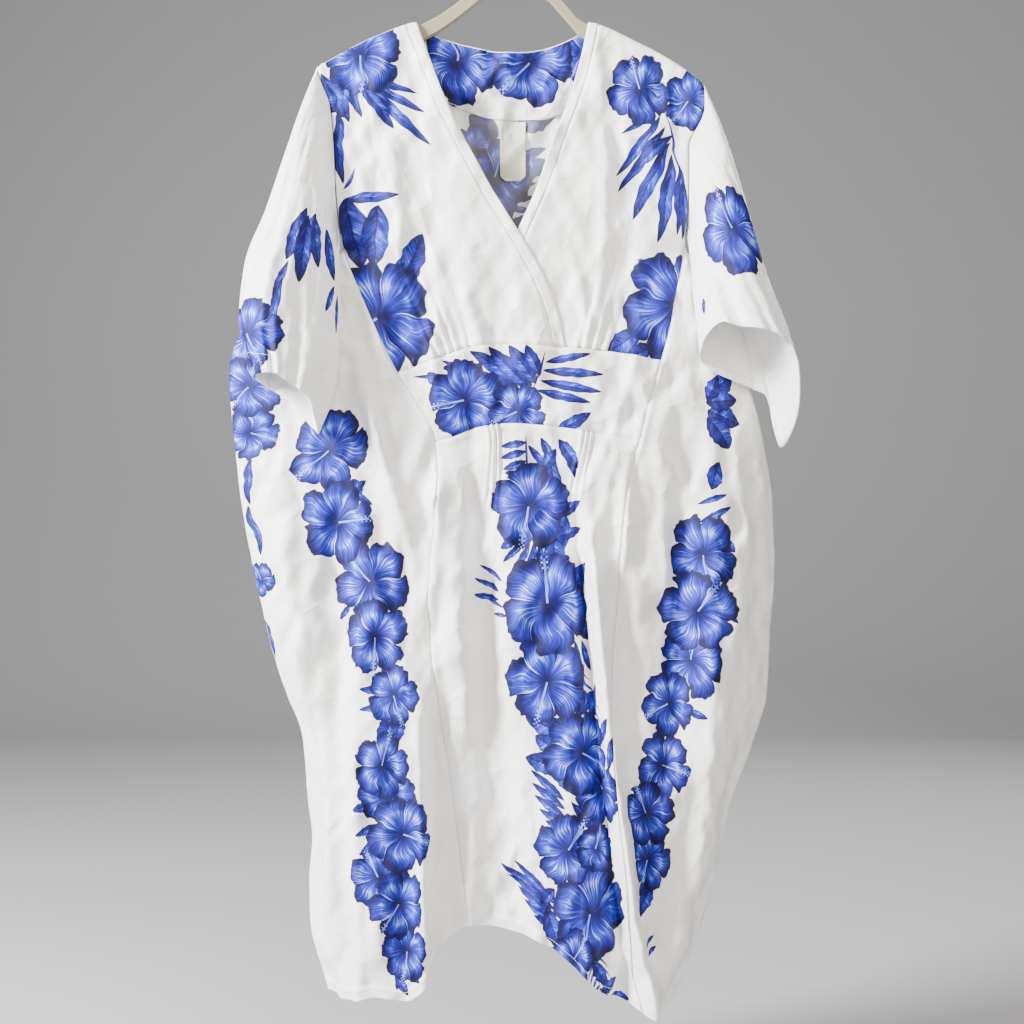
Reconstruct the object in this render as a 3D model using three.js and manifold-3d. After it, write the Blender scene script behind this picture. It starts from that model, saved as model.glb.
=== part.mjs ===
// A wide hawaiian dress with a crossed V neck, an empire band, gathers above and below it, long side
// panels and short bell sleeves, hung on a moulded hanger. Every piece of cloth is a thin closed wall.
// Sizes are in millimetres: X runs to the viewer's right, Y away from the viewer and Z up. The origin is
// where the hook bears on its rail, and heights are given as drops below it.
import * as THREE from "three";
import { mergeVertices } from "three/addons/utils/BufferGeometryUtils.js";
import Module from "manifold-3d";

// Driving dimensions
const CLOTH = 1.4;
const SEAM_GAP = 0.46;
const ARMHOLE_GAP = 1.1;
const UNDERARM_EASE = 0.5;
const NECK_BAND_WIDTH = 12;
const NECK_BAND_WALL = 1.8;
const LAP_STEP = 2.6;
const SHOULDER_RADIUS = 8.5;
const SHOULDER_SPREAD = 280;
const UNDERARM = 418;
const ARMHOLE_FULL = 330;
const SHOULDER_TIP = 206;
const HEM = 1274;
const SLEEVE_CLEARANCE = 5;
const SLEEVE_BLEND = 0.24;
// How far from an end a panel's rows bend towards the slant of that end
const SHOULDER_SETTLE = 200;
const BAND_SETTLE = 78;
const HEM_SETTLE = 250;

// Colours of the cloth and of the hanger
const WHITE = "#f1f1f2";
const PRINT = "#3f5fc0";
const TAUPE = "#8d8069";

// The outline of the body: the two armholes down to the underarm, and the side seams below it
const SIDES = [
  { drop: 150, left: -226, right: 220 },
  { drop: 206, left: -225, right: 222 },
  { drop: 253, left: -210, right: 222 },
  { drop: 301, left: -205, right: 204 },
  { drop: 360, left: -202, right: 203 },
  { drop: 405, left: -198, right: 202 },
  { drop: 418, left: -197, right: 203 },
  { drop: 438, left: -236, right: 220 },
  { drop: 468, left: -281, right: 240 },
  { drop: 510, left: -313, right: 256 },
  { drop: 557, left: -329, right: 270 },
  { drop: 638, left: -323, right: 292 },
  { drop: 708, left: -315, right: 302 },
  { drop: 777, left: -303, right: 305 },
  { drop: 870, left: -281, right: 300 },
  { drop: 928, left: -263, right: 297 },
  { drop: 980, left: -243, right: 283 },
  { drop: 1055, left: -237, right: 256 },
  { drop: 1102, left: -232, right: 244 },
  { drop: 1148, left: -236, right: 234 },
  { drop: 1200, left: -234, right: 220 },
  { drop: 1252, left: -220, right: 201 },
  { drop: 1300, left: -205, right: 178 },
];

// The shoulder line over the hanger, and the two neck openings that start from it
const SHOULDERS = [
  { x: -240, drop: 213 },
  { x: -200, drop: 190 },
  { x: -159, drop: 169 },
  { x: -110, drop: 153 },
  { x: -10, drop: 148 },
  { x: 88, drop: 153 },
  { x: 148, drop: 177 },
  { x: 206, drop: 211 },
  { x: 235, drop: 238 },
];
const BACK_NECK = [
  { x: -111, drop: 152 },
  { x: -108, drop: 158 },
  { x: -95, drop: 165 },
  { x: -49, drop: 179 },
  { x: -2, drop: 186 },
  { x: 44, drop: 179 },
  { x: 76, drop: 166 },
  { x: 86, drop: 158 },
  { x: 89, drop: 152 },
];
const NECK_EDGES = [
  { drop: 150, upper: -112, under: 89 },
  { drop: 197, upper: -95, under: 79 },
  { drop: 250, upper: -75, under: 63 },
  { drop: 301, upper: -49, under: 44 },
  { drop: 354, upper: -21, under: 26 },
  { drop: 404, upper: 9, under: 4 },
  { drop: 447, upper: 33, under: -15 },
  { drop: 487, upper: 50, under: -32 },
  { drop: 540, upper: 62, under: -52 },
];

// The long seams between the centre front and the side panels
const PRINCESS = [
  { drop: 405, left: -198.5, right: 202 },
  { drop: 418, left: -194, right: 199.6 },
  { drop: 522, left: -150, right: 177 },
  { drop: 562, left: -130, right: 166 },
  { drop: 641, left: -87, right: 144 },
  { drop: 684, left: -84, right: 133 },
  { drop: 731, left: -88, right: 126 },
  { drop: 823, left: -95, right: 119 },
  { drop: 940, left: -84, right: 112 },
  { drop: 1032, left: -70, right: 116 },
  { drop: 1125, left: -58, right: 125 },
  { drop: 1196, left: -49, right: 132 },
  { drop: 1300, left: -38, right: 144 },
];
const BAND_TOP = [
  { x: -130, drop: 562 },
  { x: -112, drop: 556 },
  { x: -49, drop: 534 },
  { x: -14, drop: 530 },
  { x: 56, drop: 533 },
  { x: 102, drop: 537 },
  { x: 170, drop: 548 },
];
const BAND_BOTTOM = [
  { x: -87, drop: 640 },
  { x: -72, drop: 637 },
  { x: -37, drop: 624 },
  { x: -2, drop: 620 },
  { x: 56, drop: 625 },
  { x: 90, drop: 630 },
  { x: 144, drop: 640 },
];
const FRONT_HEM = [
  { x: -222, drop: 1270 },
  { x: -190, drop: 1273 },
  { x: -148, drop: 1266 },
  { x: -120, drop: 1271 },
  { x: -95, drop: 1254 },
  { x: -81, drop: 1218 },
  { x: -49, drop: 1192 },
  { x: -14, drop: 1195 },
  { x: 38, drop: 1210 },
  { x: 66, drop: 1230 },
  { x: 100, drop: 1264 },
  { x: 118, drop: 1274 },
  { x: 168, drop: 1290 },
  { x: 190, drop: 1282 },
];
const BACK_HEM = [
  { x: -222, drop: 1270 },
  { x: -160, drop: 1262 },
  { x: -90, drop: 1206 },
  { x: -20, drop: 1184 },
  { x: 60, drop: 1206 },
  { x: 130, drop: 1260 },
  { x: 190, drop: 1282 },
];

// How far the front and the back stand out from the middle plane
const DEPTHS = [
  { drop: 150, front: 9, back: 9 },
  { drop: 260, front: 24, back: 22 },
  { drop: 418, front: 40, back: 34 },
  { drop: 640, front: 44, back: 42 },
  { drop: 900, front: 50, back: 50 },
  { drop: 1100, front: 54, back: 52 },
  { drop: 1310, front: 50, back: 46 },
];

// How wide the rounding at each side is
const SIDE_ROUNDING = [
  { drop: 400, width: 46 },
  { drop: 440, width: 74 },
  { drop: 520, width: 130 },
  { drop: 620, width: 165 },
];

// The largest folds: a path through three points, how wide it is, and how far it stands out or sinks in
const FRONT_FOLDS = [
  { from: 880, to: 1400, x0: -168, x1: -160, x2: -152, width: 46, height: 22 },
  { from: 900, to: 1400, x0: -112, x1: -106, x2: -100, width: 12, height: 11 },
  { from: 860, to: 1400, x0: -20, x1: -30, x2: -20, width: 62, height: -20 },
  { from: 625, to: 960, x0: -38, x1: -30, x2: -24, width: 15, height: -10 },
  { from: 690, to: 1300, x0: 30, x1: 50, x2: 72, width: 34, height: 9 },
  { from: 660, to: 1400, x0: 84, x1: 108, x2: 152, width: 15, height: 14 },
  { from: 690, to: 1150, x0: 66, x1: 88, x2: 110, width: 9, height: -8 },
  { from: 620, to: 900, x0: 136, x1: 126, x2: 122, width: 9, height: 8 },
  { from: 630, to: 860, x0: -86, x1: -86, x2: -92, width: 8, height: 7 },
  { from: 450, to: 830, x0: -206, x1: -150, x2: -92, width: 13, height: 8 },
  { from: 500, to: 900, x0: -232, x1: -180, x2: -132, width: 15, height: 7 },
  { from: 600, to: 1050, x0: -262, x1: -250, x2: -214, width: 14, height: 10 },
  { from: 640, to: 1120, x0: -196, x1: -200, x2: -190, width: 20, height: -11 },
  { from: 560, to: 1020, x0: 196, x1: 190, x2: 176, width: 22, height: -11 },
  { from: 600, to: 1400, x0: 236, x1: 232, x2: 160, width: 30, height: 15 },
  { from: 980, to: 1400, x0: 206, x1: 190, x2: 120, width: 16, height: -9 },
  { from: 240, to: 560, x0: -120, x1: -112, x2: -96, width: 20, height: -5 },
  { from: 260, to: 560, x0: 130, x1: 128, x2: 116, width: 18, height: -5 },
];
const BACK_FOLDS = [
  { from: 330, to: 1400, x0: -62, x1: -74, x2: -96, width: 26, height: 10 },
  { from: 420, to: 1400, x0: 4, x1: -6, x2: -20, width: 34, height: -13 },
  { from: 350, to: 1400, x0: 72, x1: 82, x2: 96, width: 24, height: 11 },
  { from: 520, to: 1200, x0: 140, x1: 148, x2: 150, width: 20, height: -10 },
  { from: 480, to: 1400, x0: -140, x1: -152, x2: -150, width: 20, height: -10 },
  { from: 560, to: 1400, x0: 208, x1: 214, x2: 170, width: 22, height: 12 },
  { from: 560, to: 1400, x0: -224, x1: -216, x2: -178, width: 24, height: 12 },
  { from: 820, to: 1400, x0: 40, x1: 44, x2: 52, width: 13, height: 8 },
];

// How the columns of a gathered piece run: their share of the seam, of the cloth lower down, and the waves
const SKIRT_RUNS = [
  { seam: 0.255, cloth: 0.23, waves: 0, columns: 5 },
  { seam: 0.33, cloth: 0.36, waves: 3, columns: 12 },
  { seam: 0.705, cloth: 0.66, waves: 0, columns: 6 },
  { seam: 0.78, cloth: 0.79, waves: 3, columns: 12 },
  { seam: 1, cloth: 1, waves: 0, columns: 4 },
];
const UPPER_BODICE_RUNS = [
  { seam: 0.25, cloth: 0.22, waves: 0, columns: 3 },
  { seam: 0.51, cloth: 0.56, waves: 5, columns: 20 },
  { seam: 1, cloth: 1, waves: 0, columns: 5 },
];
const UNDER_BODICE_RUNS = [
  { seam: 0.52, cloth: 0.46, waves: 0, columns: 5 },
  { seam: 0.71, cloth: 0.74, waves: 4, columns: 16 },
  { seam: 1, cloth: 1, waves: 0, columns: 3 },
];
const GATHER_HEIGHT = 1.7;
const GATHER_LENGTH = 55;

// The rows of each piece, as drops; a piece whose end runs slanted bends its last rows to that end
const SHOULDER_ROWS = [0, 1.5, 4.5, 9].map((step) => SHOULDER_TIP + step);
const ARMHOLE_ROWS = [...SHOULDER_ROWS, 238, 270, 303, 336, 368, 392, 406];
const BODICE_ROWS = [...ARMHOLE_ROWS, 418, 431, 453, 492, 530, 562];
const BAND_ROWS = [562, 581, 600, 620, 640];
const LOW_ROWS = [684, 731, 780, 835, 890, 940, 985, 1032, 1080, 1122, 1160, 1200, 1240, HEM];
const SKIRT_ROWS = [640, 654, 668, ...LOW_ROWS];
const SIDE_ROWS = [418, 424, 431, 440, 453, 470, 492, 530, ...BAND_ROWS, ...LOW_ROWS];
const BACK_ROWS = [...ARMHOLE_ROWS, ...SIDE_ROWS];

// The sleeves: the upper fold and the underarm fold, how far in front the tube hangs, and how deep it is
const SLEEVE_R = [
  { along: 0, topX: -225, topDrop: 208, lowX: -198, lowDrop: 417, middle: 0, half: 24 },
  { along: 0.15, topX: -240, topDrop: 248, lowX: -197, lowDrop: 420, middle: -18, half: 27 },
  { along: 0.3, topX: -257, topDrop: 305, lowX: -195, lowDrop: 454, middle: -32, half: 31 },
  { along: 0.5, topX: -279, topDrop: 378, lowX: -194, lowDrop: 508, middle: -46, half: 34 },
  { along: 0.7, topX: -301, topDrop: 444, lowX: -194, lowDrop: 550, middle: -60, half: 36 },
  { along: 0.85, topX: -306, topDrop: 505, lowX: -199, lowDrop: 588, middle: -68, half: 37 },
  { along: 1, topX: -288, topDrop: 573, lowX: -216, lowDrop: 634, middle: -74, half: 38 },
];
const SLEEVE_L = [
  { along: 0, topX: 222, topDrop: 227, lowX: 203, lowDrop: 417, middle: 0, half: 24 },
  { along: 0.15, topX: 240, topDrop: 272, lowX: 203, lowDrop: 421, middle: -14, half: 28 },
  { along: 0.3, topX: 255, topDrop: 324, lowX: 205, lowDrop: 452, middle: -26, half: 33 },
  { along: 0.5, topX: 271, topDrop: 389, lowX: 207, lowDrop: 484, middle: -38, half: 38 },
  { along: 0.7, topX: 291, topDrop: 471, lowX: 209, lowDrop: 510, middle: -50, half: 43 },
  { along: 0.85, topX: 311, topDrop: 535, lowX: 210, lowDrop: 530, middle: -56, half: 46 },
  { along: 1, topX: 324, topDrop: 596, lowX: 211, lowDrop: 548, middle: -62, half: 48 },
];
// How the hem of each sleeve rises or drops round the tube, from its top fold by way of the front
const SLEEVE_HEM_R = [
  { turn: 0, rise: 0 },
  { turn: 45, rise: 14 },
  { turn: 90, rise: 31 },
  { turn: 135, rise: 33 },
  { turn: 160, rise: 12 },
  { turn: 180, rise: 0 },
  { turn: 225, rise: 0 },
  { turn: 270, rise: 7 },
  { turn: 315, rise: 2 },
  { turn: 360, rise: 0 },
];
const SLEEVE_HEM_L = [
  { turn: 0, rise: 0 },
  { turn: 24, rise: 40 },
  { turn: 45, rise: 54 },
  { turn: 67, rise: 58 },
  { turn: 105, rise: 50 },
  { turn: 127, rise: 47 },
  { turn: 153, rise: 28 },
  { turn: 180, rise: 6 },
  { turn: 235, rise: -6 },
  { turn: 293, rise: -4 },
  { turn: 315, rise: -58 },
  { turn: 336, rise: -34 },
  { turn: 360, rise: 0 },
];
const SLEEVE_FOLDS = [
  { turn: 62, width: 15, height: 5, from: 0.2 },
  { turn: 105, width: 17, height: -5, from: 0.35 },
  { turn: 250, width: 22, height: 5, from: 0.3 },
];
const SLEEVE_RINGS = [0, 0.06, 0.14, 0.24, 0.36, 0.49, 0.62, 0.75, 0.88, 1];

// The facing and the label inside the back neck
const FACING_EDGE = [
  { x: -92, drop: 236 },
  { x: -66, drop: 249 },
  { x: -8, drop: 264 },
  { x: 32, drop: 264 },
  { x: 53, drop: 258 },
  { x: 74, drop: 246 },
];
const FACING_WALL = 1.1;
const FACING_STEP = 0.7;
const FACING_TURN = 1.5;
const FACING_SETTLE = 74;
const LABEL = { left: -14, right: 16, top: 266, bottom: 333, wall: 1 };

// The hanger: the upper edge of its arms between the neck points, past which they carry the shoulders
const ARM_TOP = [
  { x: -120, drop: 160.8 },
  { x: -112, drop: 157.6 },
  { x: -100, drop: 153.5 },
  { x: -64, drop: 131 },
  { x: -30, drop: 102 },
  { x: -9, drop: 83 },
  { x: 9, drop: 83 },
  { x: 36, drop: 102 },
  { x: 65, drop: 134 },
  { x: 80, drop: 151 },
  { x: 90, drop: 157.6 },
  { x: 98, drop: 160 },
];
const ARM_TIPS = { left: -214, right: 206 };
const ARM_SEAT = 1.1;
const ARM_TALL = 20;
const ARM_THICK = 7.2;
const ARM_BEVEL = 2.2;
const ARM_STEPS = 26;
const ARM_TIP = { share: 0.45, length: 30 };
const ARM_BOSS = { tall: 9, width: 26 };
const COLLAR = { top: 5.5, bottom: 9, tall: 14, drop: 78, sides: 16 };
const HOOK = { inside: 20, wire: 3.6, shank: 88, sides: 5, rings: 30, opens: -35, closes: 200, step: 23.5 };
const HOOK_NECK = [
  { x: -12, drop: 43 },
  { x: -2.5, drop: 54 },
  { x: 0, drop: 68 },
];

const slopeOf = (a, b, key, value) => (b[value] - a[value]) / (b[key] - a[key]);

// Reads one column of a table at a place between its rows, smoothly and with no overshoot.
function read(table, key, value, at) {
  if (at <= table[0][key]) return table[0][value];
  const last = table.length - 1;
  if (at >= table[last][key]) return table[last][value];
  const i = table.findIndex((row) => row[key] > at) - 1;
  const tangent = (k) => {
    if (k === 0) return slopeOf(table[0], table[1], key, value);
    if (k === last) return slopeOf(table[last - 1], table[last], key, value);
    const before = slopeOf(table[k - 1], table[k], key, value);
    const after = slopeOf(table[k], table[k + 1], key, value);
    return before * after <= 0 ? 0 : (2 * before * after) / (before + after);
  };
  const step = table[i + 1][key] - table[i][key];
  const t = (at - table[i][key]) / step;
  const rise = t * t * (3 - 2 * t);
  return (
    table[i][value] * (1 - rise) +
    table[i + 1][value] * rise +
    step * (tangent(i) * t * (1 - t) ** 2 - tangent(i + 1) * t * t * (1 - t))
  );
}

const smooth = (t) => {
  const c = Math.min(Math.max(t, 0), 1);
  return c * c * (3 - 2 * c);
};
const mix = (a, b, t) => a + (b - a) * t;

const leftSide = (drop) => read(SIDES, "drop", "left", drop);
const rightSide = (drop) => read(SIDES, "drop", "right", drop);
const shoulder = (x) => read(SHOULDERS, "x", "drop", x);
const backNeck = (x) => read(BACK_NECK, "x", "drop", x);
const lineOf = (table, settle) => ({ line: (x) => read(table, "x", "drop", x), settle });

// How open the armhole stands at this height: 1 at the chest, closing to 0 at the underarm
function armholeShare(drop) {
  if (drop <= ARMHOLE_FULL) return 1;
  const t = Math.min((drop - ARMHOLE_FULL) / (UNDERARM - ARMHOLE_FULL), 1);
  return 1 - t * t;
}

// The distance from the middle plane to the cloth, before its folds
function plainDepth(face, x, drop) {
  const below = Math.max(0, drop - shoulder(x));
  const turn = 1 - Math.min(below / SHOULDER_RADIUS, 1);
  const over = SHOULDER_RADIUS * Math.sqrt(1 - turn * turn);
  const full = read(DEPTHS, "drop", face, drop);
  const middle = over + (full - SHOULDER_RADIUS) * smooth(below / SHOULDER_SPREAD);
  const share = armholeShare(drop);
  return middle * (share + (1 - share) * sideRounding(x, drop));
}

// 1 over most of the width, rounding to 0 at each side seam
function sideRounding(x, drop) {
  const near = Math.min(x - leftSide(drop), rightSide(drop) - x);
  const turn = 1 - Math.min(Math.max(near / read(SIDE_ROUNDING, "drop", "width", drop), 0), 1);
  return Math.sqrt(1 - turn * turn);
}

// The path of a fold at a height, as a curve through its three places
function foldX(fold, drop) {
  const end = Math.min(fold.to, HEM);
  const t = Math.min(Math.max((drop - fold.from) / (end - fold.from), 0), 1);
  const control = 2 * fold.x1 - (fold.x0 + fold.x2) / 2;
  return fold.x0 * (1 - t) ** 2 + 2 * control * t * (1 - t) + fold.x2 * t * t;
}

// How far the folds move the cloth out at a place
function folds(face, x, drop) {
  const rows = face === "front" ? FRONT_FOLDS : BACK_FOLDS;
  let out = 0;
  for (const fold of rows) {
    if (drop <= fold.from || drop >= fold.to) continue;
    const length = Math.min(fold.to, HEM) - fold.from;
    const begin = smooth((drop - fold.from) / (length * 0.35));
    const end = fold.to > HEM ? 1 : smooth((fold.to - drop) / (length * 0.35));
    const away = (x - foldX(fold, drop)) / fold.width;
    out += fold.height * begin * end * Math.exp(-away * away);
  }
  const below = Math.max(0, drop - shoulder(x));
  const near = Math.min(x - leftSide(drop), rightSide(drop) - x);
  const edge = drop < UNDERARM ? 1 : smooth(near / 34);
  return out * smooth(below / 60) * edge;
}

// The direction in which the cloth faces, from how its depth changes
function facing(face, x, drop) {
  const step = 0.5;
  const away = face === "front" ? -1 : 1;
  if (drop - shoulder(x) < 0.05) return new THREE.Vector3(0, 0, 1);
  if (drop >= UNDERARM && x - leftSide(drop) < 0.4) return new THREE.Vector3(-1, 0, 0);
  if (drop >= UNDERARM && rightSide(drop) - x < 0.4) return new THREE.Vector3(1, 0, 0);
  const acrossStep = (plainDepth(face, x + step, drop) - plainDepth(face, x - step, drop)) / (2 * step);
  const downStep = (plainDepth(face, x, drop + step) - plainDepth(face, x, drop - step)) / (2 * step);
  return new THREE.Vector3(-acrossStep, away, downStep).normalize();
}

// A point of the body's cloth, moved out from its plain form by the folds and a further distance
function bodyPoint(face, x, drop, out) {
  const away = face === "front" ? -1 : 1;
  const base = new THREE.Vector3(x, away * (plainDepth(face, x, drop) + SEAM_GAP / 2), -drop);
  return base.addScaledVector(facing(face, x, drop), folds(face, x, drop) + out);
}

// A closed wall between an outer and an inner grid of points; a tube's grids meet at their two ends
function wall(outer, inner, isTube, isReversed) {
  const rows = outer.length;
  const columns = outer[0].length;
  const positions = [...outer.flat(), ...inner.flat()].flatMap((p) => [p.x, p.y, p.z]);
  const indices = [];
  const face = (a, b, c) => indices.push(...(isReversed ? [a, c, b] : [a, b, c]));
  const quad = (a, b, c, d) => {
    face(a, b, c);
    face(a, c, d);
  };
  const out = (r, c) => r * columns + (c % columns);
  const under = (r, c) => rows * columns + out(r, c);
  const spans = isTube ? columns : columns - 1;
  for (let r = 0; r < rows - 1; r++) {
    for (let c = 0; c < spans; c++) {
      quad(out(r, c), out(r, c + 1), out(r + 1, c + 1), out(r + 1, c));
      quad(under(r, c), under(r + 1, c), under(r + 1, c + 1), under(r, c + 1));
    }
  }
  for (let c = 0; c < spans; c++) {
    quad(out(0, c + 1), out(0, c), under(0, c), under(0, c + 1));
    quad(out(rows - 1, c), out(rows - 1, c + 1), under(rows - 1, c + 1), under(rows - 1, c));
  }
  for (let r = 0; r < rows - 1 && !isTube; r++) {
    quad(out(r, 0), out(r + 1, 0), under(r + 1, 0), under(r, 0));
    quad(out(r + 1, columns - 1), out(r, columns - 1), under(r, columns - 1), under(r + 1, columns - 1));
  }
  const geometry = new THREE.BufferGeometry();
  geometry.setAttribute("position", new THREE.Float32BufferAttribute(positions, 3));
  geometry.setIndex(indices);
  geometry.computeVertexNormals();
  return geometry;
}

const evenColumns = (count) =>
  Array.from({ length: count + 1 }, (_, i) => ({ seam: i / count, cloth: i / count, wave: 0 }));

// Columns that lie closer towards one side seam, or towards both
const columnsTowards = (side, count) =>
  evenColumns(count).map(({ cloth }) => {
    const share = {
      left: 1 - Math.cos((cloth * Math.PI) / 2),
      right: Math.sin((cloth * Math.PI) / 2),
      both: (1 - Math.cos(cloth * Math.PI)) / 2,
    }[side];
    return { seam: share, cloth: share, wave: 0 };
  });

// The back's columns, with one at each bend of its neckline
function backColumns() {
  const even = columnsTowards("both", 18);
  const from = leftSide(SHOULDER_TIP);
  const bends = BACK_NECK.map(({ x }) => (x - from) / (rightSide(SHOULDER_TIP) - from));
  const apart = even.filter(({ cloth }) => bends.every((bend) => Math.abs(bend - cloth) > 0.012));
  const added = bends.map((bend) => ({ seam: bend, cloth: bend, wave: 0 }));
  return [...apart, ...added].sort((a, b) => a.cloth - b.cloth);
}

// The columns of a gathered piece, with four to each wave
function gatheredColumns(runs) {
  const columns = [{ seam: 0, cloth: 0, wave: 0 }];
  let start = { seam: 0, cloth: 0 };
  for (const run of runs) {
    for (let i = 1; i <= run.columns; i++) {
      const t = i / run.columns;
      const wave = run.waves ? Math.sin(2 * Math.PI * run.waves * t) * Math.sqrt(Math.sin(Math.PI * t)) : 0;
      columns.push({ seam: mix(start.seam, run.seam, t), cloth: mix(start.cloth, run.cloth, t), wave });
    }
    start = run;
  }
  return columns;
}

// A panel of the body between two side lines and two end lines, as a closed wall
function panel({ face, rows, columns, left, right, top, bottom, gathered, lift, cloth = CLOTH }) {
  const first = rows[0];
  const last = rows[rows.length - 1];
  const gatheredAt = (drop) => {
    if (!gathered) return 0;
    return Math.exp(-Math.abs(drop - (gathered === "top" ? first : last)) / GATHER_LENGTH);
  };
  const leftGap = left === leftSide ? 0 : SEAM_GAP / 2;
  const rightGap = right === rightSide ? 0 : SEAM_GAP / 2;
  const place = (column, drop) => {
    const loose = mix(column.cloth, column.seam, gathered ? Math.min(gatheredAt(drop) * 1.25, 1) : 0);
    return mix(left(drop) + leftGap, right(drop) - rightGap, loose);
  };
  const ends = columns.map((column) => {
    const settle = (line, start) => {
      let drop = start;
      for (let i = 0; i < 12; i++) drop = line(place(column, drop));
      return drop;
    };
    return {
      top: top ? settle(top.line, first) : first,
      bottom: bottom ? settle(bottom.line, last) : last,
    };
  });
  const grid = (depthIn) =>
    rows.map((row) =>
      columns.map((column, c) => {
        const topPull = top ? 1 - smooth((row - first) / top.settle) : 0;
        const bottomPull = bottom ? 1 - smooth((last - row) / bottom.settle) : 0;
        const gap = (row === first ? SEAM_GAP / 2 : 0) - (row === last ? SEAM_GAP / 2 : 0);
        const drop = row + (ends[c].top - first) * topPull + (ends[c].bottom - last) * bottomPull + gap;
        const x = place(column, drop);
        const wave = column.wave * GATHER_HEIGHT * gatheredAt(drop);
        return bodyPoint(face, x, drop, wave + (lift ? lift(x, drop) : 0) - depthIn);
      }),
    );
  return wall(grid(0), grid(cloth), false, face === "front");
}

// Where the wearer's right front laps over, the left front lies a step further in
const neckUpper = (drop) => read(NECK_EDGES, "drop", "upper", drop);
const neckUnder = (drop) => read(NECK_EDGES, "drop", "under", drop);
const lapUnder = (x, drop) => -LAP_STEP * smooth((neckUpper(drop) + 30 - x) / 22);

const princessLeft = (drop) => read(PRINCESS, "drop", "left", drop);
const princessRight = (drop) => read(PRINCESS, "drop", "right", drop);
// At the underarm the side panels ease away from the bodice, where their corner is only a few threads wide
const ease = (drop) => UNDERARM_EASE * (1 - smooth((drop - UNDERARM) / 40));
const besideLeft = (drop) => princessLeft(drop) - ease(drop);
const besideRight = (drop) => princessRight(drop) + ease(drop);
const outerLeft = (drop) => (drop < UNDERARM ? leftSide(drop) : princessLeft(drop));
const outerRight = (drop) => (drop < UNDERARM ? rightSide(drop) : princessRight(drop));
const SHOULDER_END = { line: shoulder, settle: SHOULDER_SETTLE };
const isNeck = (x) => x > BACK_NECK[0].x && x < BACK_NECK[BACK_NECK.length - 1].x;
const BACK_END = { line: (x) => (isNeck(x) ? backNeck(x) : shoulder(x)), settle: SHOULDER_SETTLE };

// A sleeve: an armhole ring taken from the body, and rings that hang from it towards the hem
function sleeve(side, table, hem) {
  const isLeft = side < 0;
  const edge = isLeft ? leftSide : rightSide;
  const armTop = shoulder(edge(SHOULDER_TIP));
  const armLow = table[0].lowDrop;
  const settled = (row) => smooth((row - SHOULDER_TIP) / SHOULDER_SETTLE);
  const armDrops = ARMHOLE_ROWS.map((row) => row + (armTop - SHOULDER_TIP) * (1 - settled(row)));
  armDrops.push(armLow);
  const turnAt = (drop) => THREE.MathUtils.radToDeg(Math.acos(1 - (2 * (drop - armTop)) / (armLow - armTop)));
  const places = [
    ...armDrops.map((drop) => ({ drop, turn: turnAt(drop), face: "front" })),
    ...armDrops.slice(1, -1).reverse().map((drop) => ({ drop, turn: 360 - turnAt(drop), face: "back" })),
  ];
  const sides = places.length;
  const armholePoint = ({ drop, face }) => {
    const isEnd = drop === armTop || drop === armLow;
    const depth = isEnd ? 0 : plainDepth(face, edge(drop), drop);
    return new THREE.Vector3(edge(drop) + side * ARMHOLE_GAP, (face === "front" ? -1 : 1) * depth, -drop);
  };
  const tubePoint = (along, turn) => {
    const value = (name) => read(table, "along", name, along);
    const angle = THREE.MathUtils.degToRad(turn);
    const share = (1 - Math.cos(angle)) / 2;
    const x = mix(value("topX"), value("lowX"), share);
    const rise = read(hem, "turn", "rise", turn) * along ** 3;
    const drop = mix(value("topDrop"), value("lowDrop"), share) - rise;
    let fold = 0;
    for (const row of SLEEVE_FOLDS) {
      const away = (turn - row.turn) / row.width;
      fold += row.height * Math.exp(-away * away) * smooth((along - row.from) / 0.4);
    }
    const y = value("middle") - Math.sin(angle) * (value("half") + fold);
    return new THREE.Vector3(x, y, -drop);
  };
  // A sleeve hangs in front of the side of the body, clear of its cloth
  const clear = (p) => {
    if (-p.z < UNDERARM - 20) return p;
    const drop = -p.z + 2 * SLEEVE_CLEARANCE;
    const x = p.x - side * SLEEVE_CLEARANCE;
    const outside = isLeft ? leftSide(drop) - x : x - rightSide(drop);
    const inside = plainDepth("front", x, drop) + Math.max(folds("front", x, drop), 0);
    const limit = outside > 0 ? outside * 0.9 - SLEEVE_CLEARANCE : -inside - SLEEVE_CLEARANCE;
    p.y = Math.min(p.y, limit);
    return p;
  };
  const outer = SLEEVE_RINGS.map((along) =>
    places.map((place) => {
      if (along === 0) return armholePoint(place);
      return clear(armholePoint(place).lerp(tubePoint(along, place.turn), smooth(along / SLEEVE_BLEND)));
    }),
  );
  const inner = outer.map((ring, r) =>
    ring.map((p, c) => {
      const place = places[c];
      if (r === 0) {
        const way = facing(place.face, edge(place.drop) - (side * SEAM_GAP) / 2, place.drop);
        return p.clone().addScaledVector(way, -CLOTH);
      }
      const next = ring[(c + 1) % sides];
      const before = ring[(c + sides - 1) % sides];
      const down = outer[Math.min(r + 1, outer.length - 1)][c].clone();
      down.sub(outer[Math.max(r - 1, 0)][c]);
      const normal = next.clone().sub(before).cross(down).normalize();
      return p.clone().addScaledVector(normal, -side * CLOTH);
    }),
  );
  return wall(outer, inner, true, isLeft);
}

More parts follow.
